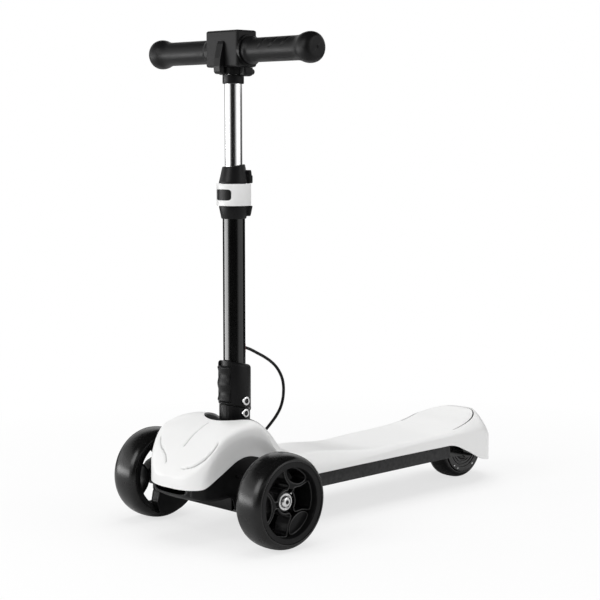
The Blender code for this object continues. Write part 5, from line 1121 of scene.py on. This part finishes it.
def tube_profile(radius, wall, low, high, edge=0.3):
    """Section of an open tube, with a small slanting edge at each corner."""
    bore = radius - wall
    return [(radius, low + edge), (radius, high - edge), (radius - edge, high), (bore + edge, high),
            (bore, high - edge), (bore, low + edge), (bore + edge, low), (radius - edge, low)]


for name, radius, wall, slot_name, body in (("outer_tube", 14.3, 1.9, "black_painted", "lower_stem"),
                                            ("inner_tube", 11.1, 1.5, "chrome", "upper_stem")):
    low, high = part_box(name)
    stem_turned(name + "_skin", tube_profile(radius, wall, low.z / MM, high.z / MM), slot_name, body, name)
    print(name, "from", round(low.z, 4), "to", round(high.z, 4))

# %% [markdown]
# Two button-head screws close the fold joint at its base. Their heads are domes with a hexagon socket, and
# the bright ring round the dark socket is what the eye finds first. The socket's dark bottom is a black plug:
# painted shade.

# %% Button-head screws
HEAD_HEIGHT = 1.8


def button_screw(cad_node, body):
    """A button head over the end of a CAD bolt, and the bolt's own shank."""
    low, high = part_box(cad_node)
    seat_x = high.x / MM - HEAD_HEIGHT
    z = (low.z + high.z) / 2 / MM
    seat = place(seat_x, STEM_Y, z)
    head = [(2.9, 0.4), (3.0, 1.5), (3.3, HEAD_HEIGHT), (5.0, HEAD_HEIGHT), (5.6, 1.4), (5.8, 0.8), (5.8, 0),
            (2.9, 0)]
    dress(turned(cad_node + "_head", head, seat, "X", 48, closed=True), "steel", body, cad_node)
    # black plug: painted shade in the screw's hexagon socket
    dress(hexagon(cad_node + "_socket", seat, 3.0, 0.9, "X"), "black_plastic", body)
    far_end = low.x / MM - seat_x
    shank = [(0, 0.2), (2.4, 0.2), (2.4, far_end), (0, far_end)]
    dress(turned(cad_node + "_shank", shank, seat, "X", 24), "steel", body)
    return z


for cad_node, body in (("base_bolt", "lean_unit"), ("socket_bolt", "lower_stem")):
    print(cad_node, "at height", round(button_screw(cad_node, body), 1))

# %% [markdown]
# ## The fold joint
# The socket of the fold joint has two ends that are cut on the slant, and a finger latch in its front. The
# latch changes its outline with height, so it is built as a stack of flat rings.

# %% Stack of rings
def stack(name, rings, sharp=35):
    """A closed body through equal rings of (x, y, z) in drawing millimetres, with flat ends."""
    bm = bmesh.new()
    made = [[bm.verts.new(place(*point)) for point in ring] for ring in rings]
    join_rows(bm, made, around=True)
    bm.faces.new(made[0][::-1])
    bm.faces.new(made[-1])
    return new_object(name, bm, sharp)


def sector(inner, outer, z, half_angle, middle=-90, steps=24):
    """Ring of points round the stem: an outer arc and an inner arc back."""
    arc = ellipse(0, STEM_Y, outer, outer, middle - half_angle, middle + half_angle, steps)
    back = ellipse(0, STEM_Y, inner, inner, middle + half_angle, middle - half_angle, steps)
    return [(x, y, z) for x, y in arc + back]


print("points in a ring of the latch:", len(sector(18.0, 22.0, 0.0, 35.0)))

# %% [markdown]
# The socket is turned straight first. Sliding every vertex up or down then keeps its wall upright and slants
# both ends alike. A window in its front takes the latch, with room above it for the latch's way up.

# %% Socket
SEAM_SLOPE = math.tan(math.radians(12))
LATCH_LOW, LATCH_HIGH, LATCH_PULL = 167.0, 213.0, 4.5
socket_profile = [(14.6, 171), (14.6, 214.5), (15.2, 216), (16.4, 216.5), (18.2, 216.3), (19.8, 215.4),
                  (20.7, 213.8), (21, 211.5), (21, 162.2), (20.7, 160.4), (20.1, 159.5), (0, 159.5), (0, 171)]
socket = turned("socket_skin", socket_profile, place(0, STEM_Y, 0), "Z", 128)
for vertex in socket.data.vertices:
    vertex.co.z -= SEAM_SLOPE * (vertex.co.y - place(0, STEM_Y, 0).y)
window = [sector(18.0, 30, z, 35.5) for z in (LATCH_LOW - 0.4, LATCH_HIGH + LATCH_PULL + 6)]
cut(socket, stack("cutter", window))
cut(socket, rounded_block("cutter", (-5.3, STEM_Y - 18.9, 150), (5.3, STEM_Y - 15.9, 181), 0.2))
cut(socket, rounded_block("cutter", (-30, 49.7, 145), (30, 60, 160.5), 0.2))
socket.data.set_sharp_from_angle(angle=math.radians(38))
dress(socket, "black_plastic", "lower_stem", "stem_socket")
dress(rounded_block("socket_lug", (-3.9, 44, 152), (3.9, 53.6, 163), 1.2), "black_plastic", "lower_stem")
print("socket faces:", len(socket.data.polygons))

# %% [markdown]
# The finger latch fills the window and carries on the socket's round shape, with two soft waves for the
# fingers. A small nose under it reaches down into the base.

# %% Latch
latch_rings = []
for z in steps_between(LATCH_LOW, LATCH_HIGH, 1.0):
    end = min(z - LATCH_LOW, LATCH_HIGH - z)
    shrink = 1.6 * (1 - min(end / 2.2, 1)) ** 2
    wave = 21.6 + 0.9 * math.cos((z - LATCH_HIGH) / 23 * 2 * math.pi)
    ring = sector(18.3, wave - shrink, z, 34.5)
    for k in (0, 24):
        x, y, _ = ring[k]
        ring[k] = (x * 0.965, STEM_Y + (y - STEM_Y) * 0.965, z)
    latch_rings.append(ring)
latch = stack("latch_skin", latch_rings, 50)
dress(latch, "black_plastic", "latch", "latch_lever")
latch_nose = rounded_block("latch_nose", (-5, STEM_Y - 18.6, 160.5), (5, STEM_Y - 16.2, 175), 0.4)
dress(latch_nose, "black_plastic", "latch")
print("latch faces:", len(latch.data.polygons))

# %% [markdown]
# ## The height clamp
# Two black cones hold a white lever between them. The upper cone rises towards the lever's hinge: its
# vertices are lifted, the more the higher they are and the nearer to the hinge. Three small lugs hold the
# hinge's barrel.

# %% Collar and hinge lugs
CLAMP_PIN_R = 1.5
pin_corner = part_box("clamp_pin")[0]
HINGE_X = pin_corner.x / MM + CLAMP_PIN_R
HINGE_Y = (pin_corner.y - AXLE_Y) / MM + CLAMP_PIN_R
cone_profile = [(11.5, 446.3), (11.5, 466.4), (12.0, 467.2), (12.9, 467.4), (14.2, 467.0), (14.7, 466.0),
                (18.4, 449.4), (18.9, 447.6), (18.8, 446.6), (18.3, 446.3)]
upper_cone = turned("upper_cone", cone_profile, place(0, STEM_Y, 0), "Z", 128, closed=True)
for vertex in upper_cone.data.vertices:
    out = (vertex.co - place(0, STEM_Y, vertex.co.z / MM)) / MM
    lean = (out.x * HINGE_X + out.y * (HINGE_Y - STEM_Y)) / math.hypot(HINGE_X, HINGE_Y - STEM_Y)
    share = max((vertex.co.z / MM - 447) / 20, 0)
    vertex.co.z += share * 3.2 * (max(lean + 14, 0) / 28) ** 2 * MM
dress(upper_cone, "black_plastic", "lower_stem", "clamp_collar")
core_profile = [(14.6, 446.3), (15.8, 446.3), (15.8, 417.6), (18.3, 417.6), (18.9, 416.6), (18.7, 415.2),
                (16.1, 402.4), (15.4, 401.3), (14.6, 401.3)]
stem_turned("lower_cone", core_profile, "black_plastic", "lower_stem")
for low, high, start, end, inner in ((446.4, 456.5, 5.2, 5.2, 0.72), (456, 463, 4.2, 3.4, 0.7),
                                     (404.5, 417.6, 2.4, 5.2, 0.78)):
    rings = []
    for z in steps_between(low, high, 0.9):
        round_off = 0.7 * (1 - min(z - low, high - z, 0.9) / 0.9)
        grown = start + (end - start) * (z - low) / (high - low) - round_off
        line = ellipse(HINGE_X, HINGE_Y, grown, grown, -45, 135, 16)
        line += [(x * inner, STEM_Y + (y - STEM_Y) * inner) for x, y in (line[-1], line[0])]
        rings.append([(x, y, z) for x, y in line])
    dress(stack("hinge_lug", rings, 50), "black_plastic", "lower_stem")
print("hinge of the lever at", round(HINGE_X, 2), round(HINGE_Y, 2))

# %% [markdown]
# The lever is a white band bent round the collar, with a round-ended slot for a fingertip at its free end.
# A black insert lines the slot from behind, and a barrel at the other end turns on the pin.

# %% Lever of the clamp
BAND_LOW, BAND_HIGH, BAND_R, BAND_WALL = 418.0, 446.0, 21.75, 2.6
band = ellipse(0, STEM_Y, BAND_R, BAND_R, 37, -149, 96)
band += ellipse(0, STEM_Y, BAND_R - BAND_WALL, BAND_R - BAND_WALL, -149, 37, 96)
lever = prism(band, BAND_LOW + 0.1, BAND_HIGH - 0.1)
slot_cutter = rounded_block("cutter", (-BAND_R - 2, -44, -7), (-2, 0, 7), 4.2)
turn = Matrix.Rotation(math.radians(45), 4, "Z")
for vertex in slot_cutter.data.vertices:
    local = vertex.co - place(0, 0, 0)
    vertex.co = place(0, STEM_Y, (BAND_LOW + BAND_HIGH) / 2) + turn @ local
cut(lever, slot_cutter)
lever.name = "lever_band"
edges = lever.modifiers.new("round_edges", "BEVEL")
edges.limit_method = "ANGLE"
edges.angle_limit = math.radians(50)
edges.width = 0.45 * MM
edges.segments = 2
settle(lever).data.set_sharp_from_angle(angle=math.radians(40))
dress(lever, "white_plastic", "height_lever", "clamp_lever")
insert = [sector(19.3, 20.7, z, 43, -92, 48) for z in (424.4, 439.6)]
dress(stack("finger_recess", insert), "black_plastic", "height_lever")
barrel_profile = [(1.8, 418.2), (3.0, 418.4), (3.2, 419), (3.2, 445), (3.0, 445.6), (1.8, 445.8)]
barrel = turned("lever_barrel", barrel_profile, place(HINGE_X, HINGE_Y, 0), "Z", 32, closed=True)
dress(barrel, "white_plastic", "height_lever")
print("lever faces:", len(lever.data.polygons))

# %% [markdown]
# Below the head a short sleeve guides the upper tube, and the throttle button sits at the back of its pod.

# %% Sleeve and throttle button
sleeve_profile = [(11.4, 571.6), (12.4, 571.5), (13.2, 571.8), (13.6, 572.6), (13.6, 582.4), (13.2, 582.7),
                  (11.4, 582.7)]
sleeve = turned("sleeve_skin", sleeve_profile, place(0, STEM_Y, 0), "Z", 96, closed=True)
dress(sleeve, "black_plastic", "upper_stem", "head_sleeve")
button_profile = [(0, 0), (1.6, -0.5), (2.6, -0.4), (3.2, 0), (3.6, -0.6), (3.6, -6), (0, -6)]
button = turned("button_skin", button_profile, place(20.6, 48, 586.4), "Y", 40)
dress(button, "black_plastic", "throttle", "throttle_button")
print("sleeve faces the clamp from height", sleeve_profile[1][1])

# %% [markdown]
# ## Grips
# Each grip is a rubber sleeve that swells to a bulb at its end, with a small hole in the middle of the flat
# end. Three slanting grooves are pressed into it. Both grips are the same moulding, so that the grooves look
# forward on one side and, because the grip is turned round, backward on the other.

# %% Grips with slanting grooves
BAR_Z, GRIP_R = 612.5, 15.2
grip_curve = [(10, 150), (13.5, 149.3), (16.6, 147.0), (18.5, 143.2), (19.1, 138.0), (18.4, 132.4),
              (16.8, 127.4), (15.6, 122.0), (GRIP_R, 116.0)]
grip_profile = [(0, 149.2), (1.3, 149.2), (1.6, 150)] + [(p.x, p.y) for p in smooth_line(grip_curve, 5)]
grip_profile += [(GRIP_R, 116 - 1.5 * k) for k in range(1, 50)]
grip_profile += [(15.3, 41), (16.2, 38.6), (17.3, 37.0), (17.5, 36), (17.5, 33.3), (17.2, 33), (11.3, 33),
                 (11.3, 141.3), (0, 141.3)]
GROOVES = [[(61.0, 177), (64.4, 158), (66.2, 135), (65.2, 110)],
           [(80.4, 173), (84.6, 155), (86.8, 132), (86.7, 105)],
           [(101.5, 172), (105.0, 152), (107.6, 132), (108.1, 112)]]
for side, (side_name, axis) in wheel_bodies.items():
    grip = turned("grip_skin_" + side_name, grip_profile, place(0, STEM_Y, BAR_Z), axis, 180)
    bm = bmesh.new()
    bm.from_mesh(grip.data)
    lines = []
    for groove in GROOVES:
        line = []
        for x, angle in smooth_line(groove, 14):
            y, z = polar([(GRIP_R, angle)])[0]
            line.append(place(side * x, STEM_Y + side * y, BAR_Z + z))
        lines.append(line)
    pressed = carve(bm, lines, 1.5, 1.3, 5.0)
    bm.to_mesh(grip.data)
    bm.free()
    dress(grip, "rubber", "upper_stem", "grip_" + side_name)
    print("grip", side_name, "pressed vertices:", pressed)

# %% [markdown]
# ## Floor, background and lamps
# The photograph has a seamless white background and only a soft shadow under the scooter. The floor is a
# pale sheet that thins out away from the scooter, so that it keeps the shadow and shows no horizon.

# %% Floor that fades out
FLOOR = 4.0
WHITE_FROM, WHITE_TO, FLOOR_END = 0.3, 0.9, 1.4
floor_mesh = bpy.data.meshes.new("floor")
floor_mesh.from_pydata([(-FLOOR, -FLOOR, 0), (FLOOR, -FLOOR, 0), (FLOOR, FLOOR, 0), (-FLOOR, FLOOR, 0)], [],
                       [(0, 1, 2, 3)])
floor = bpy.data.objects.new("floor", floor_mesh)
floor.location.z = -0.0004
bpy.context.scene.collection.objects.link(floor)
floor_material, add, shader = start_material("pale_floor")
shader.inputs["Base Color"].default_value = (0.93, 0.93, 0.93, 1)
shader.inputs["Roughness"].default_value = 0.8
shader.inputs["Specular IOR Level"].default_value = 0.15
spot = add("ShaderNodeTexCoord").outputs["Object"]
reach = add("ShaderNodeVectorMath", {0: spot}, operation="LENGTH").outputs["Value"]
fade = ramp(add, reach, WHITE_FROM, WHITE_TO, 0.7, 1.0)
seen_floor = add("ShaderNodeLightPath").outputs["Is Camera Ray"]
white = add("ShaderNodeEmission", {"Color": (1, 1, 1, 1), "Strength": 1.0})
clear = add("ShaderNodeBsdfTransparent")
veil = add("ShaderNodeMath", {0: fade, 1: seen_floor}, operation="MULTIPLY").outputs["Value"]
lit = add("ShaderNodeMixShader", {0: veil, 1: shader.outputs["BSDF"], 2: white.outputs["Emission"]})
ending = ramp(add, reach, WHITE_TO, FLOOR_END)
blend_floor = add("ShaderNodeMixShader", {0: ending, 1: lit.outputs["Shader"], 2: clear.outputs["BSDF"]})
show(floor_material, blend_floor.outputs["Shader"])
floor_mesh.materials.append(floor_material)
print("floor turns white up to", WHITE_TO, "m and ends at", FLOOR_END, "m")

# %% [markdown]
# The world is white to the camera and to mirrors, and a calmer grey as a light, so that white plastic keeps
# its shading. Light Path tells the two apart.

# %% World
WORLD_LIGHT = 0.45
world = bpy.data.worlds.new("studio")
world.use_nodes = True
bpy.context.scene.world = world
add = node_adder(world.node_tree)
rays = add("ShaderNodeLightPath").outputs
seen = add("ShaderNodeMath", {0: rays["Is Camera Ray"], 1: rays["Is Glossy Ray"]}, operation="MAXIMUM")
seen = add("ShaderNodeMath", {0: seen.outputs[0], 1: rays["Is Transmission Ray"]}, operation="MAXIMUM")
background = world.node_tree.nodes["Background"]
background.inputs["Color"].default_value = (1, 1, 1, 1)
strength = ramp(add, seen.outputs[0], 0.0, 1.0, WORLD_LIGHT, 1.0)
world.node_tree.links.new(strength, background.inputs["Strength"])
print("world light", WORLD_LIGHT)

# %% [markdown]
# Three large soft lamps shape the scooter: one high on the left, a weak one on the right and one above. The
# one above is hidden from mirrors, so that it leaves no bright square on the head and the tyres.

# %% Lamps
def soft_lamp(name, where, aim, size, power):
    """A square area lamp at a place, aimed at another, with its size in metres and its power in watts."""
    lamp = bpy.data.objects.new(name, bpy.data.lights.new(name, "AREA"))
    lamp.data.shape = "RECTANGLE"
    lamp.data.size, lamp.data.size_y = size
    lamp.data.energy = power
    lamp.location = where
    lamp.rotation_euler = (Vector(aim) - Vector(where)).to_track_quat("-Z", "Y").to_euler()
    bpy.context.scene.collection.objects.link(lamp)
    return lamp


MIDDLE = Vector((0, 0, 0.25))
soft_lamp("key", (-0.3, -2.5, 1.7), MIDDLE, (1.4, 1.4), 32)
soft_lamp("fill", (2.4, 0.9, 1.2), MIDDLE, (1.2, 1.6), 10.5)
soft_lamp("top", (0, 0.2, 2.6), MIDDLE, (2.2, 2.2), 29).visible_glossy = False

# %% [markdown]
# Curved cards around the set are seen only by mirrors: dark ones behind the camera and behind the scooter
# give the tubes their dark bands, and a bright one on the left gives the black stem its clear edge of light.
# Each card is given by two angles off the camera, two heights and a strength. The cards change at about a
# third of a metre, because the lacquered tube and the chrome one mirror different heights of the room.

# %% Cards
CARD_DISTANCE = 4.0


def card(name, start, end, low, high, strength):
    """A curved card round the stem; where both heights are the same, a flat round one above the set."""
    bm = bmesh.new()
    centre = place(0, STEM_Y, 0)
    toward = math.atan2(CAMERA_PLACE.y - centre.y, CAMERA_PLACE.x)
    columns = []
    for angle in steps_between(start, end, 5):
        t = toward + math.radians(angle)
        foot = centre + CARD_DISTANCE * Vector((math.cos(t), math.sin(t), 0))
        columns.append([bm.verts.new(foot + Vector((0, 0, z))) for z in (low, high)])
    if low < high:
        join_rows(bm, columns)
    else:
        bm.faces.new([column[0] for column in columns[:-1]])
    sheet = new_object(name, bm)
    material, add, shader = start_material(name)
    glow = add("ShaderNodeEmission", {"Color": (1, 1, 1, 1), "Strength": strength})
    show(material, glow.outputs["Emission"])
    sheet.data.materials.append(material)
    for ray in ("camera", "diffuse", "shadow", "transmission"):
        setattr(sheet, "visible_" + ray, False)


for start, end, low, high, strength in ((-54, 34, -1.2, 0.28, 0.004), (34, 46, -1.2, 0.28, 0.35),
                                        (-30, 14, 0.28, 2.2, 0.015), (-42, -30, 0.28, 2.2, 0.2),
                                        (14, 24, 0.28, 2.2, 0.13), (24, 36, 0.28, 2.2, 0.45),
                                        (103, 240, -0.8, 0.4, 0.02), (103, 228, 0.4, 0.72, 0.12),
                                        (-114, -66, -0.8, 0.45, 9.0), (-66, -54, -0.8, 0.45, 1.5),
                                        (-124, -66, 0.45, 1.7, 2.0)):
    card("card", start, end, low, high, strength)
card("dark_ceiling", 0, 360, 3.0, 3.0, 0.01)
bpy.context.scene.view_settings.view_transform = "Standard"
print("view transform:", bpy.context.scene.view_settings.view_transform)
